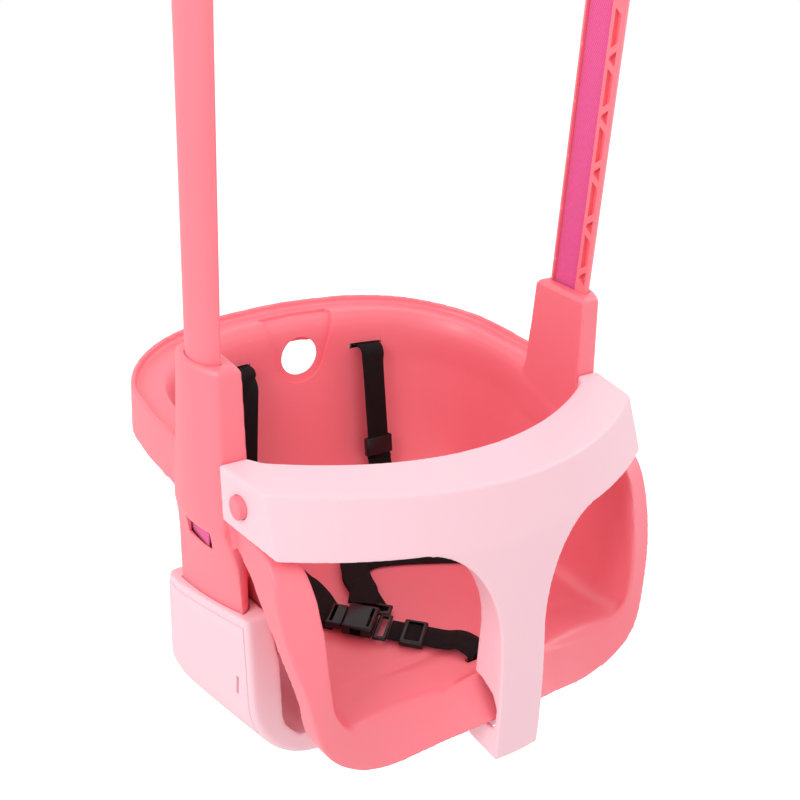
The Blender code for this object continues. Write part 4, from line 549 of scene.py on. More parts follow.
def pipe(name, start, end, diameter, vertices=32):
    """A cylinder from one place to another in the seat's millimetres."""
    start, end = at(*start), at(*end)
    bpy.ops.object.select_all(action="DESELECT")
    bpy.ops.mesh.primitive_cylinder_add(
        vertices=vertices, radius=diameter * 0.0005, depth=(end - start).length,
        location=(start + end) / 2, rotation=(end - start).to_track_quat("Z", "Y").to_euler())
    obj = bpy.context.object
    obj.name = name
    bpy.ops.object.transform_apply(location=True, rotation=True, scale=True)
    return obj


def prism(name, outline, low, high, axis):
    """A flat outline, given in the seat's millimetres, drawn out along one axis."""
    def corner(a, b, depth):
        return at(*{"X": (depth, a, b), "Y": (a, depth, b), "Z": (a, b, depth)}[axis])
    return skin(name, [[corner(a, b, depth) for a, b in outline] for depth in (low, high)], ring=True)


# %% [markdown]
# The bucket seat is one big moulding: nose and lip in front, struts that rise from it to the
# columns, a wide rim round the back and a deep bowl inside. Such a form could be a subdivision
# cage, but its edge is known exactly at twenty-one places, so ribs are drawn there, each from the
# skirt's hem over the rim and down the wall to the floor, and the grid runs through them.

# %% Ribs of the seat: rim's inner edge, rim's outer edge, hem, floor's edge, edge radius, lip
SEAT_RIBS = [
    ((0, -122, -243), (0, -147, -272), (0, -128, -278), (0, -100, -249), 3, 0),
    ((26, -122, -243), (26, -147, -272), (26, -128, -278), (24, -95, -249), 3, 0),
    ((60, -119, -255), (58, -134, -287), (58, -110, -292), (52, -88, -249.5), 3, 0),
    ((100, -116, -262), (104, -126, -296), (100, -98, -300), (85, -80, -251), 3, 0),
    ((130, -117, -254), (138, -127, -280), (134, -96, -288), (104, -78, -251.5), 3, 0),
    ((146, -118, -232), (159, -123, -255), (157, -95, -265), (114, -72, -250), 3, 0),
    ((150, -116, -208), (169, -113, -206), (168, -97, -222), (118, -60, -250), 3, 0),
    ((151, -111, -182), (176, -102, -177), (176, -88, -190), (120, -45, -250), 3, 0),
    ((152, -104, -157), (179, -90, -149), (179, -70, -165), (121, -25, -250), 3, 0),
    ((154, -92, -131), (178, -78, -126), (178, -42, -145), (122, -5, -250), 3, 0),
    ((156, -68, -116.5), (177, -62, -116.5), (176, -14.4, -136), (122, 12, -250), 3, 0),
    ((159, -36, -116.5), (177, -36, -116.5), (176, 1.4, -132), (122, 30, -250), 3, 0),
    ((161, -12, -116), (178, -12, -116), (178, 11.8, -130), (122, 46, -250), 3, 0),
    ((166, 30, -93), (184, 30, -93), (184, 34, -133), (121, 62, -250), 4, 0.1),
    ((167, 72, -82), (189, 72, -82), (190, 72, -122), (120, 80, -250), 4.5, 0.8),
    ((167, 117, -81), (190, 121, -81), (191, 121, -121), (117, 98, -250), 4.8, 1),
    ((160, 156, -79.3), (184.5, 168, -79.3), (185.5, 168.5, -119.3), (108, 116, -250), 5, 1),
    ((140, 185.5, -75.9), (161.2, 207.2, -75.9), (161.2, 207.2, -115.9), (92, 130, -250), 5, 1),
    ((110, 205.5, -70.8), (122.8, 233.3, -70.8), (122.8, 233.3, -110.8), (68, 139, -250), 5, 1),
    ((62, 216, -65.7), (66, 245.92, -65.7), (66, 245.92, -105.7), (36, 144, -250), 5, 1),
    ((0, 219, -64), (0, 250, -64), (0, 250, -104), (0, 146, -250), 5, 1),
]
# Across the rim from its outer edge: distance, height with a raised lip, height without one
LIP_PROFILE = [(0.0, 1.6, -1.4), (0.3, 3.0, -0.5), (1.0, 3.7, -0.1), (3.2, 3.7, 0.0), (3.9, 3.2, 0.0),
               (4.2, 0.5, 0.0), (4.5, -2.9, 0.0), (6.4, -3.5, 0.0)]
LEDGE_SHARES = [(0.25, -3.0), (0.5, -2.3), (0.72, -1.4), (0.88, -0.6), (0.96, -0.2)]


def rim_points(rim, edge, lip):
    """The rim's top from its outer to its inner edge, with the raised lip where there is one."""
    width = (edge - rim).length
    inward = (edge - rim) / width
    up = Vector((0, 0, 1)) - inward * inward.z
    up.normalize()
    last = LIP_PROFILE[-1][0]
    points = []
    for distance, raised, plain in LIP_PROFILE:
        points.append(rim + inward * distance + up * (plain + (raised - plain) * lip))
    for share, raised in LEDGE_SHARES:
        points.append(rim + inward * (last + (width - last) * share) + up * raised * lip)
    return points


def bend(a, b, c, d, steps):
    """Points on a cubic curve from a to d, pulled by b and c, without the first one."""
    return [a * (1 - t) ** 3 + b * 3 * t * (1 - t) ** 2 + c * 3 * t * t * (1 - t) + d * t ** 3
            for t in (step / steps for step in range(1, steps + 1))]


def seat_rib(edge, rim, hem, foot, roll, lip, lean, steps=26, fullness=3.4):
    inward = Vector((foot.x - edge.x, foot.y - edge.y, 0.0))
    inward = inward.normalized() if inward.length > 0.01 else Vector((0, 1, 0))
    drop = edge.z - foot.z
    start = edge + inward * roll - Vector((0, 0, min(roll, drop * 0.3)))
    wall = []
    for step in range(steps + 1):
        angle = math.pi / 2 * step / steps
        sink = math.sin(angle) ** (2 / fullness)
        advance = 1 - math.cos(angle) ** (2 / fullness) if step < steps else 1.0
        flat = start + (foot - start) * (lean * sink + (1 - lean) * advance)
        wall.append(Vector((flat.x, flat.y, start.z + (foot.z - start.z) * sink)))
    points = [hem, hem.lerp(rim, 0.5), hem.lerp(rim, 0.9), *rim_points(rim, edge, lip)]
    corner = edge + inward * 2.0 - Vector((0, 0, min(1.6, drop * 0.1)))
    points += [edge, corner]
    first = next(i for i, p in enumerate(wall) if start.z - p.z > drop * 0.22)
    reach = (wall[first] - corner).length / 3
    down = (inward * 0.62 - Vector((0, 0, 0.78))) * reach
    slope = (wall[first + 1] - wall[first]).normalized() * reach
    points += bend(corner, corner + down, wall[first] - slope, wall[first], 8)
    points += wall[first + 1:]
    count = 3 + len(LIP_PROFILE) + len(LEDGE_SHARES) + 2 + 8 + steps
    while len(points) < count:
        points.append(foot.lerp(Vector((0, foot.y, foot.z)), (len(points) - count + 12) / 14))
    points += [foot.lerp(Vector((0, foot.y, foot.z)), share) for share in (0.86, 0.93, 1.0)]
    return points


def seat_skin():
    steps = 6
    guides = [through([rib[k] for rib in SEAT_RIBS], steps) for k in range(4)]
    rolls = between([rib[4] for rib in SEAT_RIBS], steps)
    lips = between([rib[5] for rib in SEAT_RIBS], steps)
    rows = []
    for index, (edge, rim, hem, foot) in enumerate(zip(*guides)):
        share = index / (len(rolls) - 1)
        lean = 0.12 + 0.16 * max(0.0, share * 3 - 2)
        rows.append(placed(seat_rib(edge, rim, hem, foot, rolls[index], lips[index], lean)))
    return skin("seat_skin", rows)


# %% Columns and legs, one solid each side
# Height, inner face, front and rear outer corner, bulge, front, back, width of the rounded nose
COLUMN_LEVELS = [
    (0, 0, 180, 185, 10, 0, 62, 0), (-67, -1, 181, 187, 10, -6, 64, 0),
    (-110, -1.5, 182.5, 189.5, 8.5, -10, 65, 0), (-128, -1.5, 183, 190, 8, -12, 65, 0),
    (-136, -1, 181, 190, 6, -14, 61, 7), (-152, 1.5, 178, 190, 4.5, -22, 59, 13),
    (-186, 3, 175.8, 190, 3.5, -28, 58, 14), (-250, 3, 175.3, 189, 3.5, -30, 56, 14),
]
COLUMN_INNER_X, LEG_BOTTOM = 162.0, -250.0


def column_outline(z, grow=0.0, steps=20):
    upper, lower = next((u, l) for u, l in zip(COLUMN_LEVELS[:-1], COLUMN_LEVELS[1:]) if z >= l[0])
    share = (upper[0] - z) / (upper[0] - lower[0])
    inner, front_x, rear_x, bulge, front, back, nose = [
        u + (l - u) * share for u, l in zip(upper[1:], lower[1:])]
    inner += COLUMN_INNER_X - grow
    front -= grow
    back += grow
    outline = []
    for step in range(7):
        angle = math.pi / 2 * step / 6
        outline.append((inner + nose * (1 - math.cos(angle)), front + nose * 1.5 * (1 - math.sin(angle))))
    for step in range(steps + 1):
        t = step / steps
        x = front_x + (rear_x - front_x) * t + bulge * math.sin(math.pi * t) ** 0.8 + grow
        outline.append((x, front + (back - front) * t))
    return outline + [(inner, back)]


def column():
    rows = []
    for inset, z in ((-4.0, 0.0), (-2.2, -0.4), (-0.9, -1.6), (0.0, -4.0)):
        rows.append([at(x, y, z) for x, y in column_outline(z, inset)])
    z = -8.0
    while z > LEG_BOTTOM:
        rows.append([at(x, y, z) for x, y in column_outline(z)])
        z -= 6.0
    rows.append([at(x, y, LEG_BOTTOM) for x, y in column_outline(LEG_BOTTOM)])
    return skin("column", rows, ring=True)


print("column section at the rim:", [tuple(round(c) for c in p) for p in column_outline(-67.0, steps=3)])

# %% [markdown]
# The skin gets its other half by Mirror and its 4 mm wall by Solidify. The columns are joined to
# it, and a voxel remesh melts all of them into one moulding, as the melt does in the mould: every
# outer edge and inner corner comes out soft. A few smoothing passes take the voxels' steps away.
# The sharp openings, which the mould's steel pins leave, are cut only after that.

# %% Seat: skin, wall and columns melted together
def melted(obj, voxel, passes, limit):
    modify(obj, "REMESH", mode="VOXEL", voxel_size=voxel, use_smooth_shade=True)
    modify(obj, "SMOOTH", factor=0.5, iterations=passes)
    count = sum(len(p.vertices) - 2 for p in obj.data.polygons)
    if count > limit:
        modify(obj, "DECIMATE", ratio=limit / count)
    print(obj.name, "melted to", len(obj.data.polygons), "faces from", count, "triangles")
    return obj


seat = seat_skin()
edited(seat, (bpy.ops.mesh.flip_normals, {}))
modify(seat, "MIRROR", use_clip=True, merge_threshold=0.0001)
edited(seat, (bpy.ops.mesh.remove_doubles, {"threshold": 0.00002}))
modify(seat, "SOLIDIFY", thickness=0.004, offset=-1.0)
for side in SIDES.values():
    post = column()
    tongue = block("lug", (165.5, -46, -107), (168.1, 6, -77), 0.6)
    if side < 0:
        for solid in (post, tongue):
            solid.data.transform(Matrix.Scale(-1.0, 4, (1, 0, 0)))
            solid.data.flip_normals()
    joined(seat, post, tongue)
melted(seat, 0.0015, 4, 190000)

# %% [markdown]
# Now the sharp openings: the arm's socket with the band's way below it, the window in the column,
# the slots for the straps, the round hole in the back and the shallow shield-shaped field round
# it. The field's cutter is a layer laid along the wall and trimmed to a drawn outline, so that the
# step it leaves is equally deep all over the curved wall.

# %% Cutters of the seat
def arm_outline(grow=0.0, corner=2.0, steps=32):
    """The arm's D-shaped section: half an ellipse and a flat inner side with rounded corners."""
    round_off = []
    for step in range(6):
        angle = math.pi / 2 * step / 5
        round_off.append((corner * (1 - math.cos(angle)), corner * (1 - math.sin(angle))))
    inner = 172.5 - grow
    outline = [(inner + dx, 10.0 - grow + dy) for dx, dy in round_off]
    reach = math.acos((corner - grow + 0.3) / (15.5 + grow))
    for step in range(steps + 1):
        angle = reach * (2 * step / steps - 1)
        outline.append((172.5 + (15.5 + grow) * math.cos(angle), 33.0 + (23.0 + grow) * math.sin(angle)))
    return outline + [(inner + dx, 56.0 + grow - dy) for dx, dy in reversed(round_off)]


def rows_of(outline, *heights):
    return [[at(x, y, z) for x, y in outline] for z in heights]


def lap_slot_place(side):
    return Matrix.Translation(at(102 * side, 30, -250)) @ Matrix.Rotation(math.radians(-35 * side), 4, "Z")


def lap_slot_cutter():
    cutter = block("lap_slot", (-14.5, 35.5, 372), (14.5, 40.5, 412), 1.0)
    cutter.data.transform(lap_slot_place(1))
    return cutter


def field_outline():
    """The shield-shaped field: two slanting sides and a round foot about the hole."""
    radius, height = 27.0, -104.0
    corner = Vector((39.0, 46.0))
    turn = math.atan2(corner.y, corner.x) - math.acos(radius / corner.length)
    foot = [turn - (math.pi + 2 * turn) * step / 24 for step in range(25)]
    arc = [(radius * math.cos(a), height + radius * math.sin(a)) for a in foot]
    return [(39.0, height + 60.0), (corner.x, height + corner.y), *arc, (-corner.x, height + corner.y),
            (-39.0, height + 60.0)]


def field_cutter():
    steps = 6
    ribs = SEAT_RIBS[-3:]
    guides = [through([rib[k] for rib in ribs], steps) for k in range(4)]
    rolls = between([rib[4] for rib in ribs], steps)
    rows = [placed(seat_rib(*places, roll, 1.0, 0.28)[12:36]) for *places, roll in zip(*guides, rolls)]
    wall = skin("field", rows)
    edited(wall, (bpy.ops.mesh.flip_normals, {}))
    modify(wall, "MIRROR", use_clip=True, merge_threshold=0.0001)
    modify(wall, "SOLIDIFY", thickness=0.0125, offset=0.6, use_even_offset=True)
    outward(wall)
    return cut(wall, prism("field_outline", field_outline(), 150.0, 250.0, "Y"), operation="INTERSECT")


# The room behind the window follows the column's outer face 2 mm under it, and narrows below
WIDE_ROOM = [(173.8, 5), (185.5, 5), (187.8, 12), (188.6, 20),
             (189.2, 35), (188.6, 50), (187.5, 56), (173.8, 56)]
NARROW_ROOM = [(173.8, 5), (182.5, 5), (184.2, 12), (185.6, 20),
               (187.2, 35), (187.4, 50), (186.0, 54), (173.8, 54)]


def side_cutters():
    return [
        skin("socket", rows_of(arm_outline(0.5), -100.0, 10.0), ring=True),
        block("band_way", (173.8, 22.3, -251), (178.2, 53.7, -99)),
        block("window", (183.0, 3.0, -146.5), (215.0, 35.5, -131.0)),
        skin("band_room", rows_of(NARROW_ROOM, -172.0, -151.0) + rows_of(WIDE_ROOM, -147.0, -108.0),
             ring=True),
        block("latch_slot", (162.9, -47.0, -97.75), (168.2, -26.25, -86.25)),
        block("shoulder_slot", (54.5, 168.0, -105.0), (89.0, 235.0, -99.5), 1.0),
        lap_slot_cutter(),
        pipe("screw_hole", (172, -12, -251), (172, -12, -237), 4.6, 16),
    ]


for cutter in side_cutters():
    other = mirrored(cutter, cutter.name + "_left")
    cut(seat, cutter, other)
cut(seat, field_cutter())
cut(seat, pipe("back_hole", (0, 163, -104), (0, 238, -104), 39, 64))
cut(seat, block("crotch_slot", (-14.5, -102.5, -270), (14.5, -97.5, -230), 1.0))
finished(seat, "seat_shell_dressed", CORAL, "swing", "coral_plastic", "seat_shell", angle=40.0)

# %% [markdown]
# The guard is a hollow bar bent round the child's front, with a post that hooks over the seat's
# lip. On the real one it is a second moulding, pale pink. Its section changes all the way, so it
# is a closed row of sections too: a bar on top of a slab. The two leg openings are taken out of
# the slab by rounded prisms, which leaves the post, and the same is done to the hollow inside.

# %% Guard: outer body and hollow
GUARD_TOP, GUARD_BOTTOM, POST_BOTTOM = -69.0, -114.0, -305.0


def guard_section(inner, crease, slope, inset):
    inner, crease = Vector((*inner, 0.0)), Vector((*crease, 0.0))
    out = (crease - inner).normalized()
    forward = Vector((0, -1, 0)) if slope else out

    def level(place, z):
        return at(place.x, place.y, z)

    ring = [level(inner + out * inset, GUARD_TOP - inset), level(crease - out * inset, GUARD_TOP - inset),
            level(crease + forward * slope - out * inset, GUARD_BOTTOM)]
    low = POST_BOTTOM - (1.0 if inset else 0.0)
    for step in range(1, 13):
        share = step / 12
        more = 21.5 * math.sin(share * math.pi / 2)
        place = crease + forward * (slope + more) - out * inset
        ring.append(level(place, GUARD_BOTTOM + (low - GUARD_BOTTOM) * share))
    rear = crease - out * (2.0 - inset if crease.x < 71.5 else 2.0 + inset)
    return ring + [level(rear, low), level(rear, GUARD_BOTTOM + inset),
                   level(inner + out * inset, GUARD_BOTTOM + inset)]


def guard_body(name, inset, beyond, steps=36):
    stations = []
    for step in range(steps + 1):
        t = step / steps
        stations.append(((154 * t, -72 + 54 * t * t), (175 * t, -123 + 66 * t * t), 12.5 + 9.5 * t * t))
    inner, crease = Vector((161, -8)), Vector((184.5, -5))
    inner += (inner - Vector(stations[-1][0])) * beyond
    crease += (crease - Vector(stations[-1][1])) * beyond / 4
    stations.append((tuple(inner), tuple(crease), 0.0))
    half = [guard_section(*station, inset) for station in stations]
    other = [[Vector((-p.x, p.y, p.z)) for p in ring] for ring in reversed(half[1:])]
    return skin(name, other + half, ring=True)


def leg_opening(wall):
    left, top = 21.5 - wall, GUARD_BOTTOM + wall * 1.2 + 0.4
    outline = [(left, -355.0)]
    for step in range(25):
        angle = math.pi / 2 * step / 24
        outline.append((left + 60 * (1 - math.cos(angle)), top - 84 * (1 - math.sin(angle))))
    return prism("leg_opening", outline + [(235.0, top), (235.0, -355.0)], -300.0, 100.0, "Y")


guard = guard_body("guard_body", 0.0, 0.4)
hollow = guard_body("guard_hollow", 4.0, 0.8)
for solid, wall in ((guard, 0.0), (hollow, 4.0)):
    opening = leg_opening(wall)
    cut(solid, opening, mirrored(opening, "left_opening"))
cut(guard, hollow)
lip_room = [(0.0, -279.0), (-145.2, -279.0), (-149.2, -276.0), (-149.2, -257.5), (-143.2, -247.5),
            (-129.2, -241.5), (0.0, -241.5)]
cut(guard, prism("lip_room", lip_room, -23.5, 23.5, "X"))
end_room = [(-6.5, -67.0), (-10.5, -110.0), (-11.1, -116.0), (30.0, -116.0), (30.0, -67.0)]
end_cutter = prism("end_room", end_room, 141.0, 204.5, "X")
cut(guard, end_cutter, mirrored(end_cutter, "left_end_room"))
rib = block("guide_rib", (161.0, -50.0, -111.6), (164.8, -11.0, -71.0))
joined(guard, rib, mirrored(rib, "left_rib"))
melted(guard, 0.0011, 14, 180000)
bore = pipe("button_bore", (170, -32, -92), (204.5, -32, -92), 19, 48)
guide = pipe("pin_guide", (152, -32, -92), (168, -32, -92), 7, 24)
cut(guard, bore, mirrored(bore, "left_bore"), guide, mirrored(guide, "left_guide"))
finished(guard, "guard_dressed", PALE, "guard", "pale_pink_plastic", "guard", angle=40.0)

# %% [markdown]
# The base is a U-shaped cradle that the legs stand in. Sections across it, from front to back,
# describe it best, each with its big outer corners. After it has been melted soft, the pockets for
# the legs, the rooms for the two covers and the way of the load band are cut sharp, because two
# mouldings that fit into each other keep a thin even gap.

# %% Base and covers
BASE_TOP, BASE_BOTTOM = -196.0, -326.0


def base_outer_x(y):
    t = (y + 40.0) / 118.0
    return 179.5 + 16.5 * min(t / 0.75, 1.0) + 2.0 * math.sin(math.pi * t)


def arc(centre_x, centre_z, radius, start, end, steps):
    angles = [math.radians(start + (end - start) * step / steps) for step in range(steps + 1)]
    return [(centre_x + radius * math.cos(a), centre_z + radius * math.sin(a)) for a in angles]


def corner_radius(y):
    return 60.0 - 10.0 * (y + 40.0) / 118.0


def tilted(y, z):
    """The base's top slopes to the rear while its underside stays flat."""
    return z + (2.0 - 0.155 * y) * (z - BASE_BOTTOM) / (BASE_TOP - BASE_BOTTOM)


def base_section(y, outward_by, inset):
    t = (y + 40.0) / 118.0
    lean = 18.0 * max(0.0, 1 - t * 1.6)
    radius = corner_radius(y)
    outer, top, bottom = base_outer_x(y) + outward_by, BASE_TOP - inset, BASE_BOTTOM + inset
    floor = bottom + 18.0
    inside = arc(128.0, floor + 26.0, 26.0, 0, -90, 10)
    right = inside[::-1] + [(154.0, top - 40.0), (160.5, top), (outer, top)]
    right += arc(outer - radius, bottom + radius, radius, 0, -90, 14)
    ring = right + [(-x, z) for x, z in reversed(right)]
    return [at(x, y - lean * (BASE_TOP - z) / (BASE_TOP - BASE_BOTTOM), tilted(y, z)) for x, z in ring]


def cover_rows(grow_out, grow_in, grow_edge, along=14, down=12):
    """A plate that follows the base's side and the start of its lower corner."""
    top, bottom = -203.0 + grow_edge, -293.0 - grow_edge
    rows = []
    for step in range(along + 1):
        t = step / along
        y = -36.5 - grow_edge + (104.0 + 2 * grow_edge) * t
        outer, radius = base_outer_x(y), corner_radius(y)
        ring = []
        for level in range(down + 1):
            z = top + (bottom - top) * level / down
            below = max(0.0, BASE_BOTTOM + radius - z)
            x = outer - radius + math.sqrt(radius * radius - below * below)
            ring.append((x, y - 11.6 * (1 - t) * level / down, tilted(y, z)))
        rows.append([at(x + grow_out, y, z) for x, y, z in ring]
                    + [at(x - 2.4 - grow_in, y, z) for x, y, z in reversed(ring)])
    return rows


base_rows = [base_section(-40.0, -3.0, 3.0), base_section(-39.2, -1.2, 1.4), base_section(-37.0, 0.0, 0.0)]
base_rows += [base_section(y, 0.0, 0.0) for y in range(-30, 68, 7)]
base_rows += [base_section(68.0, 0.0, 0.0), base_section(73.0, -2.2, 0.6), base_section(76.5, -5.0, 1.6),
              base_section(78.0, -8.0, 3.0)]
base = skin("base_body", base_rows, ring=True)
melted(base, 0.0015, 9, 180000)
base_cutters = [
    skin("pocket", rows_of(column_outline(-250.0, 0.5), -250.5)
         + rows_of(column_outline(-196.0, 0.5), -196.0, -186.0), ring=True),
    skin("cover_room", cover_rows(10.0, 0.3, 0.3), ring=True),
    pipe("screw_bore", (172, -12, -261), (172, -12, -249), 4.6, 16),
    pipe("head_room", (172, -12, -336), (172, -12, -260), 10.2, 24),
]
for cutter in base_cutters:
    cut(base, cutter, mirrored(cutter, cutter.name + "_left"))
band_floor = BASE_BOTTOM + 9.0
BAND_X, BAND_Y, BAND_BEND = 176.0, 38.0, 40.0
BAND_WIDTH, BAND_THICKNESS, LOOP_Z = 29.0, 2.0, 353.3


def filleted(points, radius, steps):
    """Straight runs whose corners are arcs of the given radius."""
    points = [Vector(p) for p in points]
    result = [points[0]]
    for before, corner, after in zip(points[:-2], points[1:-1], points[2:]):
        enter, leave = (before - corner).normalized(), (after - corner).normalized()
        half = enter.angle(leave) / 2
        centre = corner + (enter + leave).normalized() * radius / math.sin(half)
        start = corner + enter * radius / math.tan(half) - centre
        end = corner + leave * radius / math.tan(half) - centre
        result += [centre + start.slerp(end, step / steps).normalized() * radius for step in range(steps + 1)]
    return result + [points[-1]]


def tape(name, points, across, width, thickness):
    """A woven band: a thin section with soft edges, carried along points in the seat's millimetres."""
    points = [Vector(p) for p in points]
    across = across if isinstance(across, list) else [across] * len(points)
    section = [(-0.5, -0.2), (-0.47, -0.5), (-0.2, -0.5), (0.2, -0.5), (0.47, -0.5), (0.5, -0.2),
               (0.5, 0.2), (0.47, 0.5), (0.2, 0.5), (-0.2, 0.5), (-0.47, 0.5), (-0.5, 0.2)]
    rows = []
    for index, point in enumerate(points):
        along = (points[min(index + 1, len(points) - 1)] - points[max(index - 1, 0)]).normalized()
        side = Vector(across[index])
        side = (side - along * side.dot(along)).normalized()
        normal = along.cross(side)
        rows.append([at(*(point + side * a * width + normal * b * thickness)) for a, b in section])
    return skin(name, rows, ring=True)


band_way = filleted([(BAND_X, BAND_Y, -240), (BAND_X, BAND_Y, band_floor),
                     (-BAND_X, BAND_Y, band_floor), (-BAND_X, BAND_Y, -240)], BAND_BEND, 10)
cut(base, tape("band_way", band_way, (0, 1, 0), 31.4, 4.4))
finished(base, "base_cradle_dressed", PALE, "swing", "pale_pink_plastic", "base_cradle", angle=40.0)

cover = skin("cover", cover_rows(0.9, 0.0, 0.0), ring=True)
modify(cover, "BEVEL", width=0.0006, segments=2, limit_method="ANGLE", angle_limit=math.radians(50))
cut(cover, block("tool_slot", (162, -33.5, -260), (206, -30.5, -243), 0.5))
for label, side in SIDES.items():
    plate = cover if side > 0 else mirrored(cover, "cover_left")
    finished(plate, f"{label}_base_cover_dressed", PALE, "swing", "pale_pink_plastic", f"{label}_base_cover")

# %% [markdown]
# Each arm is a D-shaped bar, open on its inner side: a deep channel for the load band and beside
# it a narrow one, stiffened by slanting ribs in long and short turns. The section is drawn once
# and run up, and then both channels are cut. The thin rear wall has a small notch at every turn.

# %% Arms and their caps
SHORT_CELL, RIB_PITCH, RIBS_TOP = 14.0, 46.0, 282.0


def arm():
    bar = skin("arm", rows_of(arm_outline(), -99.5, 292.0), ring=True)
    cut(bar, block("channel", (171.5, 23.2, -101), (177.3, 52.8, 293)))
    low, high, half_rib = 12.24, 19.44, 0.8
    start = 6.0
    while start + RIB_PITCH < RIBS_TOP:
        middle = start + SHORT_CELL
        for bottom, top, lean in ((start, middle, -5.0), (middle, start + RIB_PITCH, 5.0)):
            rise, fall = max(lean, 0.0), max(-lean, 0.0)
            cell = [(low, bottom + half_rib + rise), (high, bottom + half_rib + fall),
                    (high, top - half_rib - fall), (low, top - half_rib - rise)]
            cut(bar, prism("cell", cell, 171.5, 177.0, "X"))
        cut(bar, block("notch", (171.0, 51.5, start + 12.0), (173.6, 57.0, start + 16.0)))
        start += RIB_PITCH
    return bar


def arm_cap():
    rows = []
    for grow, z in ((2.2, 292.3), (2.2, 299.0), (1.9, 301.4), (1.1, 303.2), (-0.6, 304.3)):
        rows += rows_of(arm_outline(grow, corner=3.0), z)
    cap = skin("cap", rows, ring=True)
    return cut(cap, block("cap_way", (174.5, 23.0, 290.0), (177.5, 53.0, 306.0)))


def pair(make, name, material, body, slot, *nodes, angle=35.0):
    """Makes the right piece, mirrors the left one, and finishes both."""
    right = make()
    for label, side in SIDES.items():
        piece = right if side > 0 else mirrored(right, name)
        finished(piece, f"{label}_{name}_dressed", material, body.format(label), slot,
                 *[node.format(label) for node in nodes], angle=angle)


pair(arm, "arm", CORAL, "swing", "coral_plastic", "{}_arm")
pair(arm_cap, "arm_cap", CORAL, "swing", "coral_plastic", "{}_arm_cap")

# %% [markdown]
# One long woven band carries the whole seat. It starts in a sewn loop round the left ring, runs
# down inside the left arm, under the seat through the base and up to the right ring. It is a thin
# section carried along that way, so its UV map follows it and the weave stays even round bends.
# Behind the window of each column it is led outwards, so that it shows there.

# %% Load band
def band_points():
    loop = []
    for step in range(1, 17):
        angle = math.pi - math.pi * step / 16
        loop.append(Vector((180.3 + 4.3 * math.cos(angle), BAND_Y, LOOP_Z + 4.3 * math.sin(angle))))
    loop.append(loop[-1] - Vector((0, 0, 18.0)))
    run = [Vector((BAND_X, BAND_Y, z)) for z in (LOOP_Z, *range(340, -90, -40))]
    run += through([(BAND_X, BAND_Y, -100), (BAND_X, BAND_Y, -107), (178.5, 34.5, -116),
                    (184.5, 26.5, -128), (186.3, 22.5, -139), (184.5, 26.5, -150),
                    (178.5, 34.5, -162), (BAND_X, BAND_Y, -172), (BAND_X, BAND_Y, -180)], 3)
    run.append(Vector((BAND_X, BAND_Y, -220)))
    floor = filleted([(BAND_X, BAND_Y, -250), (BAND_X, BAND_Y, band_floor),
                      (-BAND_X, BAND_Y, band_floor), (-BAND_X, BAND_Y, -250)], BAND_BEND, 12)
    half = loop[::-1] + run
    return half + floor + [Vector((-p.x, p.y, p.z)) for p in reversed(half)]


band = tape("band", band_points(), (0, 1, 0), BAND_WIDTH, BAND_THICKNESS)
finished(band, "load_webbing_dressed", MAGENTA_WEBBING, "swing", "magenta_webbing", "load_webbing",
         angle=50.0)

# %% [markdown]
# Rings and snap hooks are bent from round steel wire. A curve with a bevel depth is the natural
# way to draw wire; it is made a mesh before its place is applied. The hook's lower end is forged
# flat into a fork, which holds the gate's pin, so a small bevelled block is joined and notched.

# %% Rings, hooks and gates
def wire(name, points, diameter, closed):
    bpy.ops.object.select_all(action="DESELECT")
    bpy.ops.curve.primitive_bezier_circle_add()
    obj = bpy.context.object
    obj.name = name
    curve = obj.data
    curve.splines.clear()
    spline = curve.splines.new("POLY")
    spline.points.add(len(points) - 1)
    for spot, point in zip(spline.points, points):
        spot.co = (*at(*point), 1.0)
    spline.use_cyclic_u = closed
    curve.dimensions = "3D"
    curve.bevel_depth = diameter * 0.0005
    curve.bevel_resolution = 5
    curve.use_fill_caps = not closed
    bpy.ops.object.convert(target="MESH")
    return outward(bpy.context.object)


def ring():
    x, y, bottom, half, corner = 180.3, 38.0, 353.3, 20.0, 6.0
    top = bottom + 46.0 - half
    points = [(x, y + half * math.cos(a), top + half * math.sin(a)) for a in
              (math.pi * step / 24 for step in range(25))]
    for turn, sign in ((0, -1), (1, 1)):
        for step in range(9):
            angle = math.pi * (1 + 0.5 * turn) + math.pi / 2 * step / 8
            points.append((x, y + sign * (half - corner) + corner * math.cos(angle),
                           bottom + corner + corner * math.sin(angle)))
    return wire("ring", points, 6.0, True)


def hook():
    points = []
    for start, centre in ((-10.0, 409.0), (180.0, 435.0)):
        for step in range(19):
            angle = math.radians(start - 170.0 * step / 18)
            points.append((180.3 + 17.0 * math.cos(angle), 38.0, centre + 17.0 * math.sin(angle)))
    bar = wire("hook", points, 8.0, False)
    cut(bar, block("fork", (193.3, 34.0, 405.0), (201.3, 42.0, 417.0), 1.2), operation="UNION")
    return cut(bar, block("notch", (189.3, 35.2, 410.5), (205.3, 40.8, 423.0)),
               pipe("pin_bore", (197.3, 30, 413), (197.3, 46, 413), 3.2, 24))


def gate():
    outline = [(194.8, 411.5), (199.8, 411.5), (199.8, 429.6), (198.6, 432.0), (197.3, 432.6), (196.0, 432.0),
               (194.8, 429.6)]
    flap = prism("gate", outline, 35.5, 40.5, "Y")
    modify(flap, "BEVEL", width=0.0005, segments=2, limit_method="ANGLE", angle_limit=math.radians(50))
    return cut(flap, pipe("gate_bore", (197.3, 30, 413), (197.3, 46, 413), 3.2, 24))


pair(ring, "ring", ZINC, "swing", "zinc_plated_steel", "{}_ring")
pair(hook, "hook", ZINC, "hooks", "zinc_plated_steel", "{}_hook")
pair(gate, "hook_gate", ZINC, "{}_gate", "zinc_plated_steel", "{}_hook_gate")

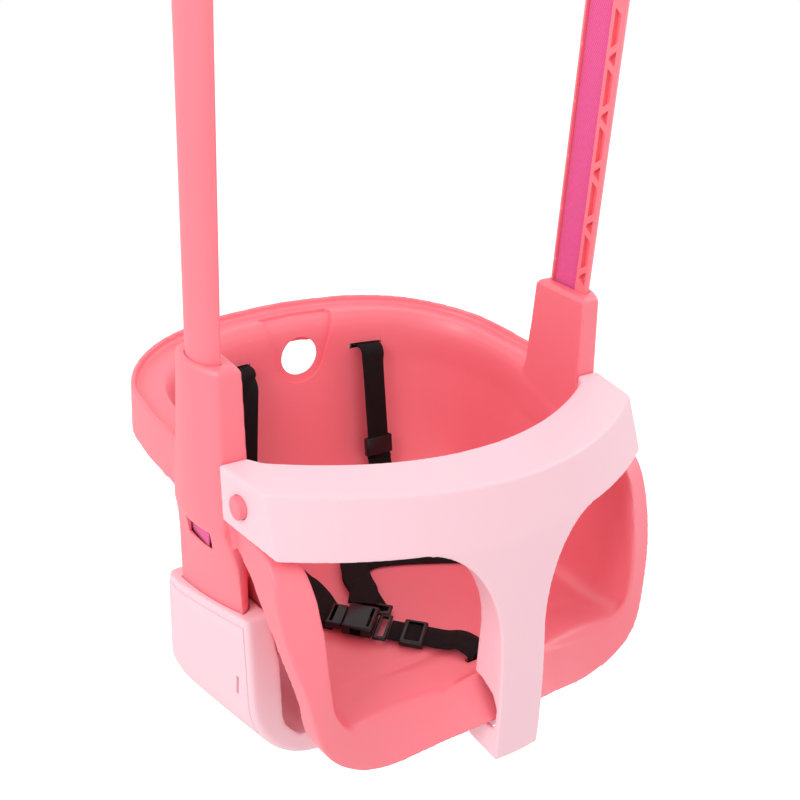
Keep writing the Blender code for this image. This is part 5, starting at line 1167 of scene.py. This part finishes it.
# %% [markdown]
# The push buttons are turned shapes: a round head with a dished face, a collar that stops it
# behind the guard's wall and a pin. One profile, turned round the axis, gives them, with a soft
# rim and a face that is sunk a little for the fingertip.

# %% Buttons of the guard
def turned(name, profile, y=-32.0, z=-92.0, sides=48):
    """A round piece along X from pairs of place and radius."""
    rows = []
    for x, radius in profile:
        angles = [math.tau * step / sides for step in range(sides)]
        rows.append([at(x, y + radius * math.cos(a), z + radius * math.sin(a)) for a in angles])
    return skin(name, rows, ring=True)


def button():
    return turned("button", [
        (163.8, 2.6), (164.2, 3.0), (171.8, 3.0), (171.8, 11.0), (173.17, 11.0), (173.17, 9.0), (183.2, 9.0),
        (184.0, 8.7), (184.45, 8.0), (184.57, 7.2), (184.4, 6.2), (184.1, 4.0), (184.0, 1.5)])


pair(button, "button", CORAL, "{}_button", "coral_plastic", "{}_button")

# %% [markdown]
# The harness is black webbing 25 mm wide. Both shoulder straps come through slots in the back, run
# down the wall and meet the lap straps at the buckle on the seat's floor; the crotch strap comes up
# through a slot in the lip. They are drawn as bands on smooth ways over the floor, lying on it or
# on each other.

# %% Straps of the harness
FLOOR, LAY, OVER, LINK = -250.0, -248.0, -246.1, -242.8
STRAP_WIDTH, STRAP_THICKNESS = 25.0, 1.6
CHAIN = Matrix.Translation((-87.0, 1.0, FLOOR)) @ Matrix.Rotation(math.radians(-45.6), 4, "Z")


def on_chain(distance, offset, height):
    """A place on the line of buckles: along it, across it and above the floor, in millimetres."""
    return CHAIN @ Vector((distance, offset, height))


def strap(name, points, first_across, *nodes, body="swing"):
    line = through(points, 6)
    across, last = [], Vector(first_across)
    for index in range(len(line)):
        ahead = line[min(index + 1, len(line) - 1)] - line[max(index - 1, 0)]
        flat = Vector((-ahead.y, ahead.x, 0.0))
        if flat.length > ahead.length * 0.05:
            last = flat.normalized() * (1 if flat.dot(last) > 0 else -1)
        across.append(last)
    for _ in range(6):
        across = [across[0]] + [(a + 2 * b + c).normalized() for a, b, c in
                                zip(across[:-2], across[1:-1], across[2:])] + [across[-1]]
    made = tape(name, line, across, STRAP_WIDTH, STRAP_THICKNESS)
    return finished(made, name, BLACK_WEBBING, body, "black_webbing", *nodes, angle=50.0)


def back_run(side):
    x = 74.0 if side > 0 else 67.5
    fall = [(x, 216, -102), (x, 206, -102), (x, 197.5, -102.4), (x, 193.2, -108)]
    fall += [(x + 1.5 * share * (75 - x), 192.0 - 18.5 * share, -118.0 - 101.0 * share)
             for share in (0.0, 0.25, 0.5, 0.75, 0.95, 1.0)]
    return [(x * side, y, z) for x, y, z in fall]


def lap_rise(side):
    turned_in = Matrix.Rotation(math.radians(-35.0 * side), 4, "Z")
    place = Matrix.Translation((102.0 * side, 30.0, FLOOR)) @ turned_in
    return [place @ Vector((0, -ahead, height)) for ahead, height in
            ((0.0, -12.0), (0.0, -6.0), (0.0, -1.0), (2.2, 1.6), (8.0, 2.0), (16.0, 2.0))]


strap("left_shoulder_strap_dressed", back_run(-1) + [
    (-75.5, 164, -233.5), (-76.5, 151, -243.2), (-78, 132, LAY), (-80, 100, LAY), (-80, 65, LAY + 0.4),
    (-78.5, 48, OVER), (-78.5, 30, OVER), (-80.5, 14, OVER), (-79.3, -2.6, OVER)],
      (1, 0, 0), "left_shoulder_strap")
strap("right_shoulder_strap_dressed", back_run(1) + [
    (74, 165, -233.5), (69.5, 152, -243.2), (58, 134, LAY), (34, 109, LAY), (5, 85, LAY + 1.2),
    (-18, 68, LINK), (-30, 48, LINK), (-36.5, 30, LINK), (-40.5, 15, LINK), (-51.7, -0.8, LINK)],
      (1, 0, 0), "right_shoulder_strap")
strap("left_lap_strap_dressed", lap_rise(-1) + [Vector((-86, 4, LAY)), Vector((-79, -6, LAY))],
      (0.82, 0.57, 0), "left_lap_strap")
strap("right_lap_strap_dressed", lap_rise(1) + [Vector(p) for p in (
    (75, 23, LAY), (45, 38, LAY), (18, 50, LAY), (-5, 57, LAY), (-22, 54, LAY), (-33, 40, LAY),
    (-36.5, 25, LAY), (-40, 10, LAY), (-44, -11, LAY))], (0.82, -0.57, 0), "right_lap_strap")
strap("crotch_strap_dressed", [
    Vector((0, -100, -264)), Vector((0, -100, -256)), Vector((0, -100, -251)), Vector((0, -98.4, -245.8)),
    on_chain(116, 0, 6.5), on_chain(103, 0, 4.0), on_chain(86, 0, 4.0), on_chain(66, 0, 4.0),
    on_chain(55.7, 0, 4.0)], (1, 0, 0), "crotch_strap")

# %% [markdown]
# The buckle's parts are hard black plastic with small radii and a polish. Each starts as a block in
# the frame of the line of buckles, gets its edges rounded, and then its openings are cut: the
# socket's mouth and side windows, the ladder-lock's frame, the ring's and the plate's eyes.

# %% Buckle, ring, ladder-lock and plate
def chain_block(name, start, end, half_width, low, high, offset=0.0, bevel=0.0, segments=3):
    bpy.ops.object.select_all(action="DESELECT")
    middle = Vector(((start + end) / 2, offset, (low + high) / 2))
    bpy.ops.mesh.primitive_cube_add(size=1.0, scale=(end - start, 2 * half_width, high - low),
                                    location=middle)
    obj = bpy.context.object
    obj.name = name
    bpy.ops.object.transform_apply(location=True, rotation=True, scale=True)
    if bevel:
        modify(obj, "BEVEL", width=bevel, segments=segments, limit_method="ANGLE")
    place = Matrix.Scale(0.001, 4) @ Matrix.Translation((0, -38.0, -392.0)) @ CHAIN
    obj.data.transform(place)
    return obj


tongue = chain_block("tongue", 3.0, 17.0, 13.5, 5.15, 11.15, bevel=1.6)
cut(tongue, chain_block("eye", 5.6, 8.6, 11.0, 0.0, 20.0, bevel=0.8))
for offset in (-8.25, 8.25):
    joined(tongue, chain_block("prong", 16.0, 33.0, 2.25, 6.45, 9.85, offset, 0.8),
           chain_block("barb", 26.0, 32.6, 1.9, 6.3, 10.0, offset * 1.36, 1.2))
finished(tongue, "buckle_tongue_dressed", BLACK_PLASTIC, "buckle_tongue", "black_plastic", "buckle_tongue")

socket = chain_block("socket", 17.3, 43.3, 16.5, 3.4, 12.9, bevel=2.2, segments=4)
cut(socket, chain_block("mouth", 16.0, 34.0, 14.1, 5.8, 10.5, bevel=0.6),
    chain_block("near_window", 25.0, 34.5, 4.0, 5.2, 11.1, -16.6, 1.2),
    chain_block("far_window", 25.0, 34.5, 4.0, 5.2, 11.1, 16.6, 1.2),
    chain_block("strap_eye", 37.6, 40.2, 12.8, 0.0, 20.0, bevel=0.8))
finished(socket, "buckle_socket_dressed", BLACK_PLASTIC, "swing", "black_plastic", "buckle_socket")

loop = chain_block("loop", 43.9, 55.4, 16.5, 3.4, 6.4, bevel=1.3)
cut(loop, chain_block("loop_eye", 46.9, 52.4, 13.5, 0.0, 12.0, bevel=1.0))
finished(loop, "harness_ring_dressed", BLACK_PLASTIC, "swing", "black_plastic", "harness_ring")

lock = chain_block("lock", 66.0, 86.0, 15.5, 1.2, 6.8, bevel=1.7, segments=4)
cut(lock, chain_block("lock_way", 56.0, 97.0, 13.0, 2.7, 5.3),
    chain_block("lock_window", 69.6, 82.6, 12.4, 3.0, 12.0, bevel=1.0))
finished(lock, "crotch_slider_dressed", BLACK_PLASTIC, "crotch_slider", "black_plastic", "crotch_slider")

plate = chain_block("plate", 22.0, 52.0, 7.0, 3.1, 6.1, 23.8, 1.3)
cut(plate, chain_block("plate_eye", 25.0, 49.0, 4.0, 0.0, 12.0, 23.8, 1.2))
finished(plate, "harness_link_dressed", BLACK_PLASTIC, "swing", "black_plastic", "harness_link")

# %% [markdown]
# A slide adjuster grips each shoulder strap: a small flat frame with a bar across its middle.

# %% Adjusters of the shoulder straps
def adjuster():
    run = Vector((0.0, 18.5, 101.0)).normalized()
    turned_along = run.to_track_quat("Z", "Y").to_matrix().to_4x4()
    place = Matrix.Translation((75.0, 173.5 + 18.5 * 15.0 / 101.0, -204.0)) @ turned_along
    scale = Matrix.Scale(0.001, 4) @ Matrix.Translation((0, -38.0, -392.0)) @ place

    def local(name, half, bevel, centre=(0, 0, 0)):
        bpy.ops.object.select_all(action="DESELECT")
        bpy.ops.mesh.primitive_cube_add(size=2.0, scale=half, location=centre)
        obj = bpy.context.object
        obj.name = name
        bpy.ops.object.transform_apply(location=True, rotation=True, scale=True)
        if bevel:
            modify(obj, "BEVEL", width=bevel, segments=3, limit_method="ANGLE")
        obj.data.transform(scale)
        return obj

    frame_piece = local("adjuster", (15.25, 3.1, 9.5), 1.2)
    return cut(frame_piece, local("way", (13.0, 1.3, 12.0), 0.0),
               local("window_high", (12.0, 3.0, 2.2), 0.5, (0, -2.6, 4.6)),
               local("window_low", (12.0, 3.0, 2.2), 0.5, (0, -2.6, -4.6)))


pair(adjuster, "adjuster", BLACK_PLASTIC, "{}_adjuster", "black_plastic", "{}_adjuster")

# %% [markdown]
# The small hidden parts keep their CAD shapes: screws, gate pins, springs and the flat anchors
# behind the slots. They only get the real finishes in place of the plain CAD colours.

# %% CAD nodes that stay
for name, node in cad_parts.items():
    stays = {"screw": ZINC, "pin": ZINC, "spring": ZINC, "anchor": BLACK_PLASTIC}
    for word, material in stays.items():
        if name.endswith(word):
            for index in range(len(node.material_slots)):
                node.material_slots[index].material = material
            print("kept", name, "in", material.name)
